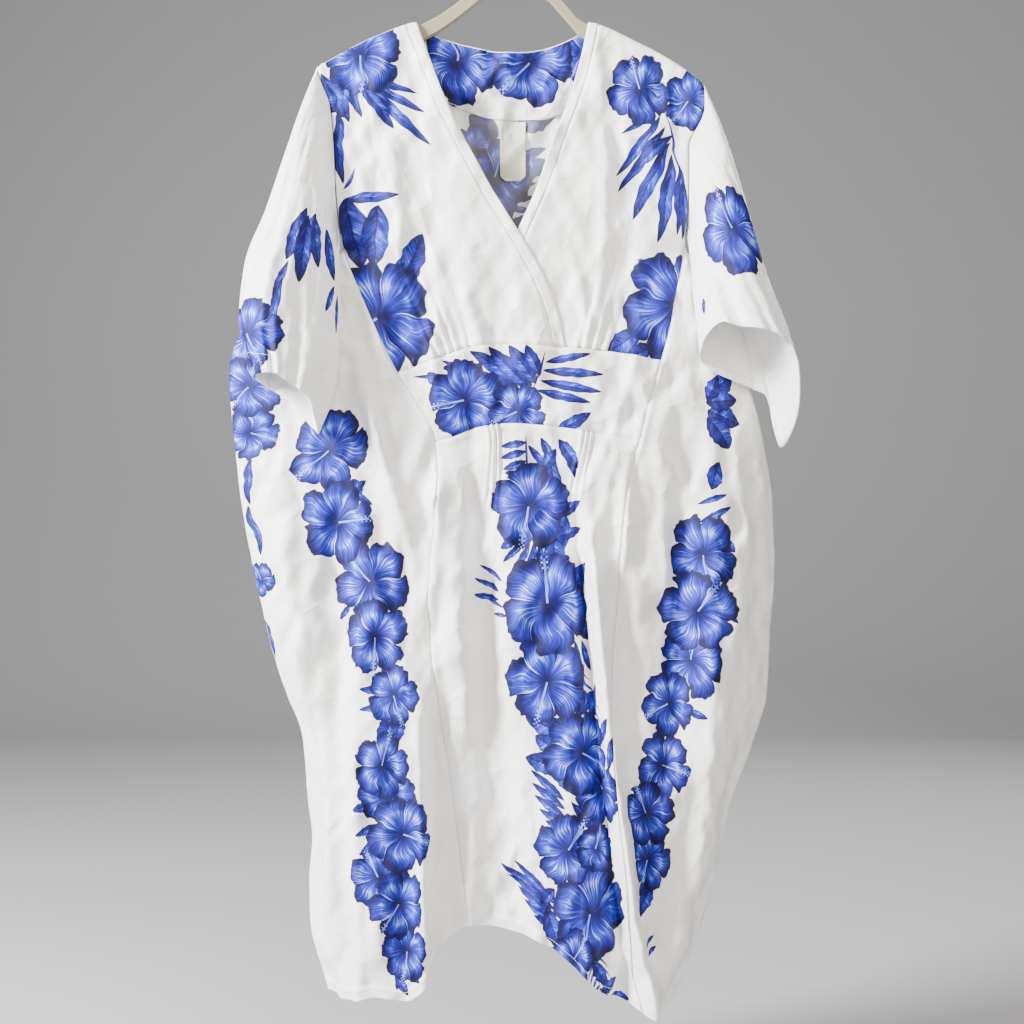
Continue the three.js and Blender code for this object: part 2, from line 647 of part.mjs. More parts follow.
// The hanger's plate is cut to its outline, with bevelled edges, and the hook is one with its neck
async function hangerGeometry() {
  const wasm = await Module();
  wasm.setup();
  const solidOf = (geometry) => {
    geometry.deleteAttribute("normal");
    geometry.deleteAttribute("uv");
    const merged = mergeVertices(geometry, 1e-4);
    return new wasm.Manifold(
      new wasm.Mesh({
        numProp: 3,
        vertProperties: merged.attributes.position.array,
        triVerts: new Uint32Array(merged.index.array),
      }),
    );
  };
  const upper = [];
  const { left: leftTip, right: rightTip } = ARM_TIPS;
  const isUnderCloth = (x) => x < ARM_TOP[0].x || x > ARM_TOP[ARM_TOP.length - 1].x;
  for (let i = 0; i <= ARM_STEPS; i++) {
    const x = mix(leftTip, rightTip, i / ARM_STEPS);
    const drop = isUnderCloth(x) ? shoulder(x) + CLOTH + ARM_SEAT : read(ARM_TOP, "x", "drop", x);
    upper.push(new THREE.Vector2(x, -drop));
  }
  const lower = upper.map(({ x, y }) => {
    const nearTip = Math.min(x - leftTip, rightTip - x);
    const tall = ARM_TALL * mix(ARM_TIP.share, 1, smooth(nearTip / ARM_TIP.length));
    const boss = ARM_BOSS.tall * Math.exp(-((x / ARM_BOSS.width) ** 2));
    return new THREE.Vector2(x, y - tall - boss);
  });
  const plate = new THREE.ExtrudeGeometry(new THREE.Shape([...lower, ...upper.reverse()]), {
    depth: ARM_THICK - 2 * ARM_BEVEL,
    bevelThickness: ARM_BEVEL,
    bevelSize: ARM_BEVEL,
    bevelOffset: -ARM_BEVEL,
    bevelSegments: 1,
    steps: 1,
  });
  plate.translate(0, 0, -(ARM_THICK - 2 * ARM_BEVEL) / 2);
  plate.rotateX(Math.PI / 2);
  const radius = HOOK.inside + HOOK.wire;
  const bend = [];
  for (let degrees = HOOK.opens; degrees <= HOOK.closes; degrees += HOOK.step) {
    const angle = THREE.MathUtils.degToRad(degrees);
    bend.push(new THREE.Vector3(radius * Math.cos(angle), 0, -HOOK.inside + radius * Math.sin(angle)));
  }
  for (const { x, drop } of HOOK_NECK) bend.push(new THREE.Vector3(x, 0, -drop));
  bend.push(new THREE.Vector3(0, 0, -HOOK.shank));
  const path = new THREE.CatmullRomCurve3(bend);
  const section = new THREE.Shape();
  section.absarc(0, 0, HOOK.wire, 0, 2 * Math.PI);
  const hook = new THREE.ExtrudeGeometry(section, {
    steps: HOOK.rings,
    curveSegments: HOOK.sides,
    bevelEnabled: false,
    extrudePath: path,
  });
  const collar = new THREE.CylinderGeometry(COLLAR.top, COLLAR.bottom, COLLAR.tall, COLLAR.sides);
  collar.rotateX(Math.PI / 2);
  collar.translate(0, 0, -COLLAR.drop);
  const whole = solidOf(plate).add(solidOf(hook)).add(solidOf(collar));
  const { vertProperties, triVerts } = whole.getMesh();
  const geometry = new THREE.BufferGeometry();
  geometry.setAttribute("position", new THREE.Float32BufferAttribute(vertProperties, 3));
  geometry.setIndex(Array.from(triVerts));
  geometry.computeVertexNormals();
  return geometry;
}

const dress = new THREE.Group();

function addPiece(name, geometry, color, roughness = 0.55) {
  const piece = new THREE.Mesh(
    geometry,
    new THREE.MeshStandardMaterial({ color, roughness, metalness: 0 }),
  );
  piece.name = name;
  dress.add(piece);
}

addPiece(
  "front_bodice_r",
  panel({
    face: "front",
    rows: BODICE_ROWS,
    columns: gatheredColumns(UPPER_BODICE_RUNS),
    left: outerLeft,
    right: (drop) => neckUpper(drop) - NECK_BAND_WIDTH,
    top: SHOULDER_END,
    bottom: lineOf(BAND_TOP, BAND_SETTLE),
    gathered: "bottom",
  }),
  WHITE,
);
addPiece(
  "front_bodice_l",
  panel({
    face: "front",
    rows: BODICE_ROWS,
    columns: gatheredColumns(UNDER_BODICE_RUNS),
    left: (drop) => neckUnder(drop) + NECK_BAND_WIDTH,
    right: outerRight,
    top: SHOULDER_END,
    bottom: lineOf(BAND_TOP, BAND_SETTLE),
    gathered: "bottom",
    lift: lapUnder,
  }),
  WHITE,
);
addPiece(
  "neck_band_r",
  panel({
    face: "front",
    rows: BODICE_ROWS,
    columns: evenColumns(2),
    left: (drop) => neckUpper(drop) - NECK_BAND_WIDTH,
    right: neckUpper,
    top: SHOULDER_END,
    bottom: lineOf(BAND_TOP, BAND_SETTLE),
    cloth: NECK_BAND_WALL,
  }),
  WHITE,
);
addPiece(
  "neck_band_l",
  panel({
    face: "front",
    rows: BODICE_ROWS,
    columns: evenColumns(2),
    left: neckUnder,
    right: (drop) => neckUnder(drop) + NECK_BAND_WIDTH,
    top: SHOULDER_END,
    bottom: lineOf(BAND_TOP, BAND_SETTLE),
    lift: lapUnder,
    cloth: NECK_BAND_WALL,
  }),
  WHITE,
);
addPiece(
  "midriff_band",
  panel({
    face: "front",
    rows: BAND_ROWS,
    columns: evenColumns(16),
    left: princessLeft,
    right: princessRight,
    top: lineOf(BAND_TOP, BAND_SETTLE),
    bottom: lineOf(BAND_BOTTOM, BAND_SETTLE),
  }),
  PRINT,
);
addPiece(
  "front_skirt",
  panel({
    face: "front",
    rows: SKIRT_ROWS,
    columns: gatheredColumns(SKIRT_RUNS),
    left: princessLeft,
    right: princessRight,
    top: lineOf(BAND_BOTTOM, BAND_SETTLE),
    bottom: lineOf(FRONT_HEM, HEM_SETTLE),
    gathered: "top",
  }),
  WHITE,
);
addPiece(
  "side_panel_r",
  panel({
    face: "front",
    rows: SIDE_ROWS,
    columns: columnsTowards("left", 10),
    left: leftSide,
    right: besideLeft,
    bottom: lineOf(FRONT_HEM, HEM_SETTLE),
  }),
  WHITE,
);
addPiece(
  "side_panel_l",
  panel({
    face: "front",
    rows: SIDE_ROWS,
    columns: columnsTowards("right", 10),
    left: besideRight,
    right: rightSide,
    bottom: lineOf(FRONT_HEM, HEM_SETTLE),
  }),
  WHITE,
);
addPiece(
  "back_panel",
  panel({
    face: "back",
    rows: BACK_ROWS,
    columns: backColumns(),
    left: leftSide,
    right: rightSide,
    top: BACK_END,
    bottom: lineOf(BACK_HEM, HEM_SETTLE),
  }),
  WHITE,
);
addPiece(
  "back_neck_facing",
  panel({
    face: "back",
    rows: [166, 180, 195, 210, 225, 240],
    columns: evenColumns(14),
    left: () => FACING_EDGE[0].x,
    right: () => FACING_EDGE[FACING_EDGE.length - 1].x,
    top: { line: (x) => backNeck(x) + FACING_TURN, settle: FACING_SETTLE },
    bottom: lineOf(FACING_EDGE, FACING_SETTLE),
    lift: () => -CLOTH - FACING_STEP,
    cloth: FACING_WALL,
  }),
  PRINT,
);
addPiece(
  "care_label",
  panel({
    face: "back",
    rows: [LABEL.top, 288, 310, LABEL.bottom],
    columns: evenColumns(3),
    left: () => LABEL.left,
    right: () => LABEL.right,
    lift: () => -CLOTH - FACING_STEP,
    cloth: LABEL.wall,
  }),
  WHITE,
);
addPiece("sleeve_r", sleeve(-1, SLEEVE_R, SLEEVE_HEM_R), WHITE);
addPiece("sleeve_l", sleeve(1, SLEEVE_L, SLEEVE_HEM_L), WHITE);
addPiece("hanger", await hangerGeometry(), TAUPE, 0.5);

export default dress;
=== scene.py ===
import bpy
import numpy as np
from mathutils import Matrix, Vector


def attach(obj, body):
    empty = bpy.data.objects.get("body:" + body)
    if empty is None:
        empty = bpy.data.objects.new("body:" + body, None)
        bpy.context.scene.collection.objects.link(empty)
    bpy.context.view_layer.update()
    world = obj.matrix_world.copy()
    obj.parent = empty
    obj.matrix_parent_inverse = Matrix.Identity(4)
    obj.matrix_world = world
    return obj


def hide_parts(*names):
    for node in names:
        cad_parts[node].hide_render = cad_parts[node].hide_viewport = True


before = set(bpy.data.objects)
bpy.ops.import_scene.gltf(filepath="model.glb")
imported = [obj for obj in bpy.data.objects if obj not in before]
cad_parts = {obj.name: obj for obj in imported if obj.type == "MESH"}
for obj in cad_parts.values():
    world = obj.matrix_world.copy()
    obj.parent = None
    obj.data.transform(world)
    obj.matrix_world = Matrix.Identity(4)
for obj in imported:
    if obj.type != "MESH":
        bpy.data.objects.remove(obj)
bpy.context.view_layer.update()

# The studio: a pale floor that curves up into a backdrop, a soft key light from the left with weaker ones
# in front, above and behind, and a camera level with the middle of the dress, straight in front of it.
camera_data = bpy.data.cameras.new("camera")
camera_data.sensor_width = 36
camera_data.lens = 60.6
camera = bpy.data.objects.new("camera", camera_data)
camera.location = (0, -2.0, -0.721)
camera.rotation_euler = (np.pi / 2, 0, 0)
bpy.context.scene.collection.objects.link(camera)
bpy.context.scene.camera = camera
FLOOR = {"level": -1.42, "front": -6.0, "bend_from": 3.4, "bend_radius": 1.6, "top": 5.0, "half_width": 7.0}
LIGHTS_AIM = (0, 0, -0.7)


def new_finish(name):
    """A new material, with its node tree and its shader."""
    material = bpy.data.materials.new(name)
    material.use_nodes = True
    return material, material.node_tree, material.node_tree.nodes["Principled BSDF"]


def studio_sheet():
    level, bend, radius = FLOOR["level"], FLOOR["bend_from"], FLOOR["bend_radius"]
    sweep = [(FLOOR["front"], level), (bend, level)]
    for angle in np.linspace(0, np.pi / 2, 16):
        sweep.append((bend + radius * np.sin(angle), level + radius - radius * np.cos(angle)))
    sweep.append((bend + radius, FLOOR["top"]))
    points = [(x, y, z) for x in (-FLOOR["half_width"], FLOOR["half_width"]) for y, z in sweep]
    count = len(sweep)
    faces = [(i, i + 1, count + i + 1, count + i) for i in range(count - 1)]
    mesh = bpy.data.meshes.new("floor")
    mesh.from_pydata(points, [], [face[::-1] for face in faces])
    mesh.shade_smooth()
    return bpy.data.objects.new("floor", mesh)


floor = studio_sheet()
bpy.context.scene.collection.objects.link(floor)
paper, _, paper_shader = new_finish("studio_paper")
paper_shader.inputs["Base Color"].default_value = (0.4, 0.4, 0.41, 1)
paper_shader.inputs["Roughness"].default_value = 0.9
floor.data.materials.append(paper)


def soft_light(name, place, size, watts, colour):
    data = bpy.data.lights.new(name, "AREA")
    data.shape = "RECTANGLE"
    data.size, data.size_y = size
    data.energy = watts
    data.color = colour
    light = bpy.data.objects.new(name, data)
    light.location = place
    light.rotation_euler = (Vector(LIGHTS_AIM) - light.location).to_track_quat("-Z", "Y").to_euler()
    light.visible_camera = False
    bpy.context.scene.collection.objects.link(light)


soft_light("key", (-2.3, -1.15, 0.35), (0.7, 1.1), 415, (0.95, 0.97, 1))
soft_light("front", (0.9, -3.2, 0.3), (2.0, 2.0), 92, (1, 0.91, 0.78))
soft_light("top", (0.3, -0.5, 1.3), (1.0, 0.7), 32, (0.95, 0.97, 1))
soft_light("behind", (1.2, 2.6, 0.9), (1.6, 1.2), 60, (1, 0.97, 0.93))
world = bpy.data.worlds.new("studio")
world.use_nodes = True
world.node_tree.nodes["Background"].inputs["Color"].default_value = (1, 0.95, 0.88, 1)
world.node_tree.nodes["Background"].inputs["Strength"].default_value = 0.15
bpy.context.scene.world = world

# The hanger: one shaped arm and hook, moulded in taupe plastic with a fine satin grain. Its solid is
# already its true shape, so it stays and only gets its finish.


def wire(tree, kind, *inputs, **settings):
    """Adds a node, sets it, and joins its inputs in order; a number or tuple is set on the socket."""
    node = tree.nodes.new(kind)
    for name, value in settings.items():
        setattr(node, name, value)
    for socket, value in zip(node.inputs, inputs):
        if isinstance(value, bpy.types.NodeSocket):
            tree.links.new(value, socket)
        elif value is not None:
            socket.default_value = value
    return node


def sums(tree, operation, *inputs, clamp=False):
    return wire(tree, "ShaderNodeMath", *inputs, operation=operation, use_clamp=clamp).outputs[0]


def noise(tree, place, scale, detail=2):
    node = wire(tree, "ShaderNodeTexNoise", place)
    node.inputs["Scale"].default_value = scale
    node.inputs["Detail"].default_value = detail
    return node.outputs["Fac"]


def colours(tree, value, stops):
    """A colour read off between stops, each its place from 0 to 1 and its colour."""
    node = wire(tree, "ShaderNodeValToRGB", value)
    elements = node.color_ramp.elements
    while len(elements) < len(stops):
        elements.new(0.5)
    for element, (place, colour) in zip(elements, stops):
        element.position = place
        element.color = (*colour, 1)
    return node.outputs["Color"]


def bump(tree, height, strength, distance, under=None):
    """Relief of a height, over the relief that lies under it."""
    node = tree.nodes.new("ShaderNodeBump")
    node.inputs["Strength"].default_value = strength
    node.inputs["Distance"].default_value = distance
    tree.links.new(height, node.inputs["Height"])
    if under:
        tree.links.new(under, node.inputs["Normal"])
    return node.outputs["Normal"]


def hanger_finish():
    material, tree, shader = new_finish("hanger_plastic")
    place = tree.nodes.new("ShaderNodeTexCoord").outputs["Object"]
    tone = noise(tree, place, 14, 3)
    taupe = colours(tree, tone, [(0, (0.235, 0.195, 0.125)), (1, (0.315, 0.27, 0.185))])
    tree.links.new(taupe, shader.inputs["Base Color"])
    tree.links.new(bump(tree, noise(tree, place, 1400), 0.25, 0.0002), shader.inputs["Normal"])
    tree.links.new(sums(tree, "MULTIPLY_ADD", tone, 0.16, 0.34), shader.inputs["Roughness"])
    shader.inputs["Specular IOR Level"].default_value = 0.45
    return material


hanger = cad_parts["hanger"]
hanger.data.materials.clear()
hanger.data.materials.append(hanger_finish())

# The back: one wide panel of the printed cloth, from the shoulder seams to the hem, with a shallow
# scooped neck and three garlands down it. It hangs from the hanger's arms, and the side seams join it
# to the front. The form that it shares with the front is measured here, as drops below the hook.
SIDES = [
    (150, -226, 220), (206, -225, 222), (253, -210, 222), (301, -205, 204), (360, -202, 203),
    (405, -198, 202), (418, -197, 203), (438, -236, 220), (468, -281, 240), (510, -313, 256),
    (557, -329, 270), (638, -323, 292), (708, -315, 302), (777, -303, 305), (870, -281, 300),
    (928, -263, 297), (980, -243, 283), (1055, -237, 256), (1102, -232, 244), (1148, -236, 234),
    (1200, -234, 220), (1252, -220, 201), (1300, -205, 178),
]
SHOULDERS = [
    (-240, 213), (-200, 190), (-159, 169), (-110, 153), (-10, 148), (88, 153), (148, 177), (206, 211),
    (235, 238),
]
BACK_NECK = [
    (-111, 152), (-108, 158), (-95, 165), (-49, 179), (-2, 186), (44, 179), (76, 166), (86, 158),
    (89, 152),
]
BACK_HEM = [
    (-222, 1270), (-160, 1262), (-90, 1206), (-20, 1184), (60, 1206), (130, 1260), (190, 1282),
]
DEPTHS = [
    (150, 9, 9), (260, 24, 22), (418, 40, 34), (640, 44, 42), (900, 50, 50), (1100, 54, 52),
    (1310, 50, 46),
]
SIDE_ROUNDING = [(400, 46), (440, 74), (520, 130), (620, 165)]
BACK_FOLDS = [
    (330, 1400, -62, -74, -96, 26, 10), (420, 1400, 4, -6, -20, 34, -13), (350, 1400, 72, 82, 96, 24, 11),
    (520, 1200, 140, 148, 150, 20, -10), (480, 1400, -140, -152, -150, 20, -10),
    (560, 1400, 208, 214, 170, 22, 12), (560, 1400, -224, -216, -178, 24, 12),
    (820, 1400, 40, 44, 52, 13, 8),
]
FRONT_FOLDS = [
    (880, 1400, -168, -160, -152, 46, 22), (900, 1400, -112, -106, -100, 12, 11),
    (860, 1400, -20, -30, -20, 62, -20), (625, 960, -38, -30, -24, 15, -10),
    (690, 1300, 30, 50, 72, 34, 9), (660, 1400, 84, 108, 152, 15, 14), (690, 1150, 66, 88, 110, 9, -8),
    (620, 900, 136, 126, 122, 9, 8), (630, 860, -86, -86, -92, 8, 7), (450, 830, -206, -150, -92, 13, 8),
    (500, 900, -232, -180, -132, 15, 7), (600, 1050, -262, -250, -214, 14, 10),
    (640, 1120, -196, -200, -190, 20, -11), (560, 1020, 196, 190, 176, 22, -11),
    (600, 1400, 236, 232, 160, 30, 15), (980, 1400, 206, 190, 120, 16, -9),
    (240, 560, -120, -112, -96, 20, -5), (260, 560, 130, 128, 116, 18, -5),
]
SHARP_FOLDS = [
    (600, 1400, 80, 107, 150, 8, 9), (620, 1300, 66, 92, 132, 7, -8), (690, 1400, 122, 134, 168, 10, -4),
    (560, 1000, -48, -42, -34, 9, -6), (620, 1200, -26, -28, -8, 16, -6),
    (900, 1400, -104, -98, -93, 7, 9), (860, 1400, -84, -78, -74, 12, -9),
    (820, 1250, -222, -205, -190, 9, 4), (480, 820, -190, -150, -95, 7, 4),
    (520, 900, -170, -140, -112, 6, 3), (600, 960, -130, -122, -118, 7, -3),
    (560, 900, 160, 172, 190, 7, 3.5), (700, 1200, 215, 222, 190, 8, 4),
    (900, 1330, 170, 160, 120, 7, -4), (620, 820, 250, 262, 268, 7, 3),
    (1000, 1400, 10, 22, 40, 9, 4), (1000, 1400, -40, -46, -50, 8, 4), (900, 1400, -178, -170, -166, 7, 4),
    (240, 520, -140, -128, -118, 9, 3), (250, 470, -60, -84, -100, 10, -3), (260, 540, 112, 104, 92, 8, 3),
    (380, 560, 60, 78, 96, 7, 2.5), (400, 560, -70, -50, -36, 8, 3),
]
SHOULDER_RADIUS = 8.5
SHOULDER_SPREAD = 280
SHOULDER_TIP = 206
ARMHOLE_FULL = 330
UNDERARM = 418
HEM = 1274
SHOULDER_SETTLE = 200
BAND_SETTLE = 78
HEM_SETTLE = 250
CLOTH = 0.8
HEM_DEEP = 13
HEM_FOLD = {"out": 0.7, "thick": 1.1}
GATHER = {"drawn_in": 55, "hold": 1.25, "deep": 3.6, "reach": 44, "fine": 0.9, "fine_reach": 24}
SEAM = {"dip": 1.2, "dip_width": 1.6, "ridge": 0.75, "ridge_at": 4.2, "ridge_width": 2.6}
SHARP_LIFT = 1.3
RUMPLE_HEIGHT = 0.027
CREASES = {"count": 70, "across": (-260, 250), "down": (250, 1240), "length": (40, 150), "width": (5, 13),
           "height": (1.2, 3.8), "hollow_share": 0.35}
SOFT_WAVES = 26
FULL_TURN = 6.28


def read(rows, at, column=1):
    """Reads a column of a table between its rows, smoothly and with no overshoot."""
    keys = np.array([row[0] for row in rows], float)
    values = np.array([row[column] for row in rows], float)
    slopes = np.diff(values) / np.diff(keys)
    both = slopes[:-1] * slopes[1:]
    total = slopes[:-1] + slopes[1:]
    middle = np.where(both > 0, 2 * both / np.where(both > 0, total, 1), 0)
    tangents = np.concatenate([slopes[:1], middle, slopes[-1:]])
    at = np.clip(at, keys[0], keys[-1])
    i = np.clip(np.searchsorted(keys, at, side="right") - 1, 0, len(keys) - 2)
    step = keys[i + 1] - keys[i]
    t = (at - keys[i]) / step
    rise = t * t * (3 - 2 * t)
    bend = tangents[i] * t * (1 - t) ** 2 - tangents[i + 1] * t * t * (1 - t)
    return values[i] * (1 - rise) + values[i + 1] * rise + step * bend


def smooth(t):
    t = np.clip(t, 0, 1)
    return t * t * (3 - 2 * t)


def left_side(drop):
    return read(SIDES, drop, 1)


def right_side(drop):
    return read(SIDES, drop, 2)


def shoulder(x):
    return read(SHOULDERS, x)


def near_side(x, drop):
    return np.minimum(x - left_side(drop), right_side(drop) - x)


def plain_depth(face, x, drop):
    """The distance from the middle plane to the cloth, before its folds."""
    below = np.maximum(0, drop - shoulder(x))
    turn = 1 - np.minimum(below / SHOULDER_RADIUS, 1)
    over = SHOULDER_RADIUS * np.sqrt(1 - turn * turn)
    full = read(DEPTHS, drop, 1 if face == "front" else 2)
    middle = over + (full - SHOULDER_RADIUS) * smooth(below / SHOULDER_SPREAD)
    closing = np.clip((drop - ARMHOLE_FULL) / (UNDERARM - ARMHOLE_FULL), 0, 1)
    share = 1 - closing * closing
    turn = 1 - np.clip(near_side(x, drop) / read(SIDE_ROUNDING, drop), 0, 1)
    return middle * (share + (1 - share) * np.sqrt(1 - turn * turn))


def folds(face, x, drop, table=None):
    """How far the large folds move the cloth out."""
    out = np.zeros(np.shape(drop))
    rows = table or (FRONT_FOLDS if face == "front" else BACK_FOLDS)
    for begins, ends, x0, x1, x2, width, height in rows:
        low = min(ends, HEM)
        t = np.clip((drop - begins) / (low - begins), 0, 1)
        path = x0 * (1 - t) ** 2 + (4 * x1 - x0 - x2) * t * (1 - t) + x2 * t * t
        grows = smooth((drop - begins) / ((low - begins) * 0.35))
        fades = 1 if ends > HEM else smooth((ends - drop) / ((low - begins) * 0.35))
        out += height * grows * fades * np.exp(-(((x - path) / width) ** 2))
    edge = np.where(drop < UNDERARM, 1, smooth(near_side(x, drop) / 34))
    return out * smooth((drop - shoulder(x)) / 60) * edge


def rumples(face, x, drop):
    """Small soft creases that run on across the seams, deeper where the cloth hangs slack."""
    chance = np.random.default_rng(11 if face == "front" else 12)
    out = np.zeros(np.shape(drop))
    for wave in range(SOFT_WAVES):
        length = 26 * 1.12**wave % 150 + 24
        lean = chance.normal(0, 0.42) + np.sign(chance.random() - 0.5) * 0.35
        phase = chance.random() * FULL_TURN
        warp = 9 * np.sin(drop / (70 + 60 * chance.random()) + phase * 3)
        crest = np.sin(((x + warp) * np.cos(lean) + drop * np.sin(lean)) * FULL_TURN / length + phase)
        patch = np.sin(x / (60 + 90 * chance.random()) + phase) * np.sin(drop / (90 + 90 * chance.random()))
        out += (1 - np.abs(crest)) * patch * length * RUMPLE_HEIGHT
    for _ in range(CREASES["count"]):
        across, down = chance.uniform(*CREASES["across"]), chance.uniform(*CREASES["down"])
        lean = chance.normal(0.0, 0.5) - across / 900
        length, width = chance.uniform(*CREASES["length"]), chance.uniform(*CREASES["width"])
        height = chance.uniform(*CREASES["height"]) * (-1 if chance.random() < CREASES["hollow_share"] else 1)
        beside = (x - across) * np.cos(lean) - (drop - down) * np.sin(lean)
        forward = (x - across) * np.sin(lean) + (drop - down) * np.cos(lean)
        beside = beside + forward**2 / (length * 9)
        out += height * np.exp(-((beside / width) ** 2) - (forward / length) ** 4)
    return out * smooth((drop - shoulder(x)) / 50) * smooth((near_side(x, drop) + 6) / 30)


def way_out(face, x, drop):
    """The direction in which the cloth faces, from how its depth changes."""
    step = 0.5
    away = -1 if face == "front" else 1
    across = (plain_depth(face, x + step, drop) - plain_depth(face, x - step, drop)) / (2 * step)
    down = (plain_depth(face, x, drop + step) - plain_depth(face, x, drop - step)) / (2 * step)
    way = np.stack([-across, np.full(np.shape(x), float(away)), down], axis=-1)
    way /= np.linalg.norm(way, axis=-1, keepdims=True)
    way[(drop - shoulder(x)) < 0.05] = (0, 0, 1)
    way[(drop >= UNDERARM) & (x - left_side(drop) < 0.4)] = (-1, 0, 0)
    way[(drop >= UNDERARM) & (right_side(drop) - x < 0.4)] = (1, 0, 0)
    return way


def body_point(face, x, drop, out):
    away = -1 if face == "front" else 1
    base = np.stack([x, away * plain_depth(face, x, drop), -drop], axis=-1)
    lift = folds(face, x, drop) + rumples(face, x, drop) + out
    if face == "front":
        lift += SHARP_LIFT * folds(face, x, drop, SHARP_FOLDS)
    return base + way_out(face, x, drop) * lift[..., None]


def cloth_object(name, outer, inner, flat, is_tube=False, is_reversed=False):
    """A thin closed wall of cloth between two grids of points, with its flat lay as its UV map."""
    rows, columns = outer.shape[:2]
    places = np.concatenate([outer.reshape(-1, 3), inner.reshape(-1, 3)]) * 0.001
    index = np.arange(rows * columns).reshape(rows, columns)
    if is_tube:
        index = np.concatenate([index, index[:, :1]], axis=1)
        flat = np.concatenate([flat, flat[:, :1] + (flat[:, 1:2] - flat[:, :1])], axis=1)
        flat[:, -1, 0] = flat[:, -2, 0] + (flat[:, -2, 0] - flat[:, -3, 0])
    under = index + rows * columns
    lay = np.arange(index.size).reshape(index.shape)

    def quads(grid):
        return np.stack([grid[:-1, :-1], grid[:-1, 1:], grid[1:, 1:], grid[1:, :-1]], -1).reshape(-1, 4)

    faces = [quads(index), quads(under)[:, ::-1]]
    lays = [quads(lay), quads(lay)[:, ::-1]]
    edges = [(index[0], under[0], lay[0], True), (index[-1], under[-1], lay[-1], False)]
    if not is_tube:
        edges.append((index[:, 0], under[:, 0], lay[:, 0], False))
        edges.append((index[:, -1], under[:, -1], lay[:, -1], True))
    for top, low, side, turned in edges:
        rim = np.stack([top[1:], top[:-1], low[:-1], low[1:]], -1)
        rim_lay = np.stack([side[1:], side[:-1], side[:-1], side[1:]], -1)
        faces.append(rim if turned else rim[:, ::-1])
        lays.append(rim_lay if turned else rim_lay[:, ::-1])
    is_inner = np.concatenate([np.full(len(part), k == 1) for k, part in enumerate(faces)])
    faces = np.concatenate(faces)
    lays = np.concatenate(lays)
    if is_reversed:
        faces = faces[:, ::-1]
        lays = lays[:, ::-1]
    mesh = bpy.data.meshes.new(name)
    mesh.vertices.add(len(places))
    mesh.vertices.foreach_set("co", places.astype(np.float32).ravel())
    mesh.loops.add(faces.size)
    mesh.loops.foreach_set("vertex_index", faces.astype(np.int32).ravel())
    mesh.polygons.add(len(faces))
    mesh.polygons.foreach_set("loop_start", np.arange(0, faces.size, 4, dtype=np.int32))
    mesh.update(calc_edges=True)
    mesh.polygons.foreach_set("use_smooth", np.ones(len(faces), bool))
    layer = mesh.uv_layers.new(name="flat_cloth")
    layer.data.foreach_set("uv", (flat.reshape(-1, 2)[lays] * 0.001).astype(np.float32).ravel())
    mark = mesh.attributes.new("inside", "FLOAT", "FACE")
    mark.data.foreach_set("value", is_inner.astype(np.float32))
    piece = bpy.data.objects.new(name, mesh)
    bpy.context.scene.collection.objects.link(piece)
    return piece, flat.reshape(-1, 2)[lays]


def flat_lay(points, straight):
    """Where each point lies on the flat cloth: across from a straight grain line, and down."""
    steps = np.linalg.norm(np.diff(points, axis=1), axis=-1)
    across = np.concatenate([np.zeros((len(points), 1)), np.cumsum(steps, axis=1)], axis=1)
    lay = np.empty(points.shape[:2] + (2,))
    for r, row in enumerate(points):
        order = np.argsort(row[:, 0])
        x = row[order, 0]
        grain = np.interp(straight, x, across[r, order])
        grain += min(straight - x[0], 0) + max(straight - x[-1], 0)
        lay[r, :, 0] = straight + across[r] - grain
    lay[..., 1] = -points[..., 2]
    return lay


def panel_rows(first, last, step):
    """Where a panel's rows lie: close together over the shoulder, along its seams and at its hem."""
    start = [0, 0.3, 0.9, 1.8, 3, 4.4, 6, 7.8, 9.8, 12, 15] if first < 300 else [0, 1, 2.5, 4.5, 7]
    rows = [first + value for value in start]
    before = [13.4, 12.8, 10, 7, 4, 2, 0.8, 0] if last > 1200 else [6, 3.5, 1.8, 0.8, 0]
    end = [last - value for value in before]
    count = int((end[0] - rows[-1]) / step)
    return np.concatenate([rows, np.linspace(rows[-1], end[0], count + 1)[1:-1], end])


def panel_columns(count, towards=None, runs=None):
    """Each column's share of the seam, its share of the cloth lower down, and its gather wave."""
    if runs:
        seam, cloth, wave = [0], [0], [0]
        for to_seam, to_cloth, waves in runs:
            columns = max(8, int(waves * 12)) if waves else max(6, int(count * (to_cloth - cloth[-1])))
            from_seam, from_cloth = seam[-1], cloth[-1]
            for t in np.arange(1, columns + 1) / columns:
                fade = np.sqrt(np.sin(np.pi * t)) if t < 1 else 0
                seam.append(from_seam + (to_seam - from_seam) * t)
                cloth.append(from_cloth + (to_cloth - from_cloth) * t)
                uneven = 1 + 0.45 * np.sin(t * 17 + waves)
                wave.append(np.sin(2 * np.pi * waves * t) * fade * uneven if waves else 0)
        return np.array(seam), np.array(cloth), np.array(wave)
    t = np.linspace(0, 1, count + 1)
    share = {
        None: t,
        "left": 1 - np.cos(t * np.pi / 2),
        "right": np.sin(t * np.pi / 2),
        "both": (1 - np.cos(t * np.pi)) / 2,
    }[towards]
    share = 0.45 * t + 0.55 * share
    if count > 30:
        close = np.array([0.004, 0.01, 0.018, 0.029])
        share = np.unique(np.concatenate([share, close, 1 - close]).round(5))
    return share, share, share * 0


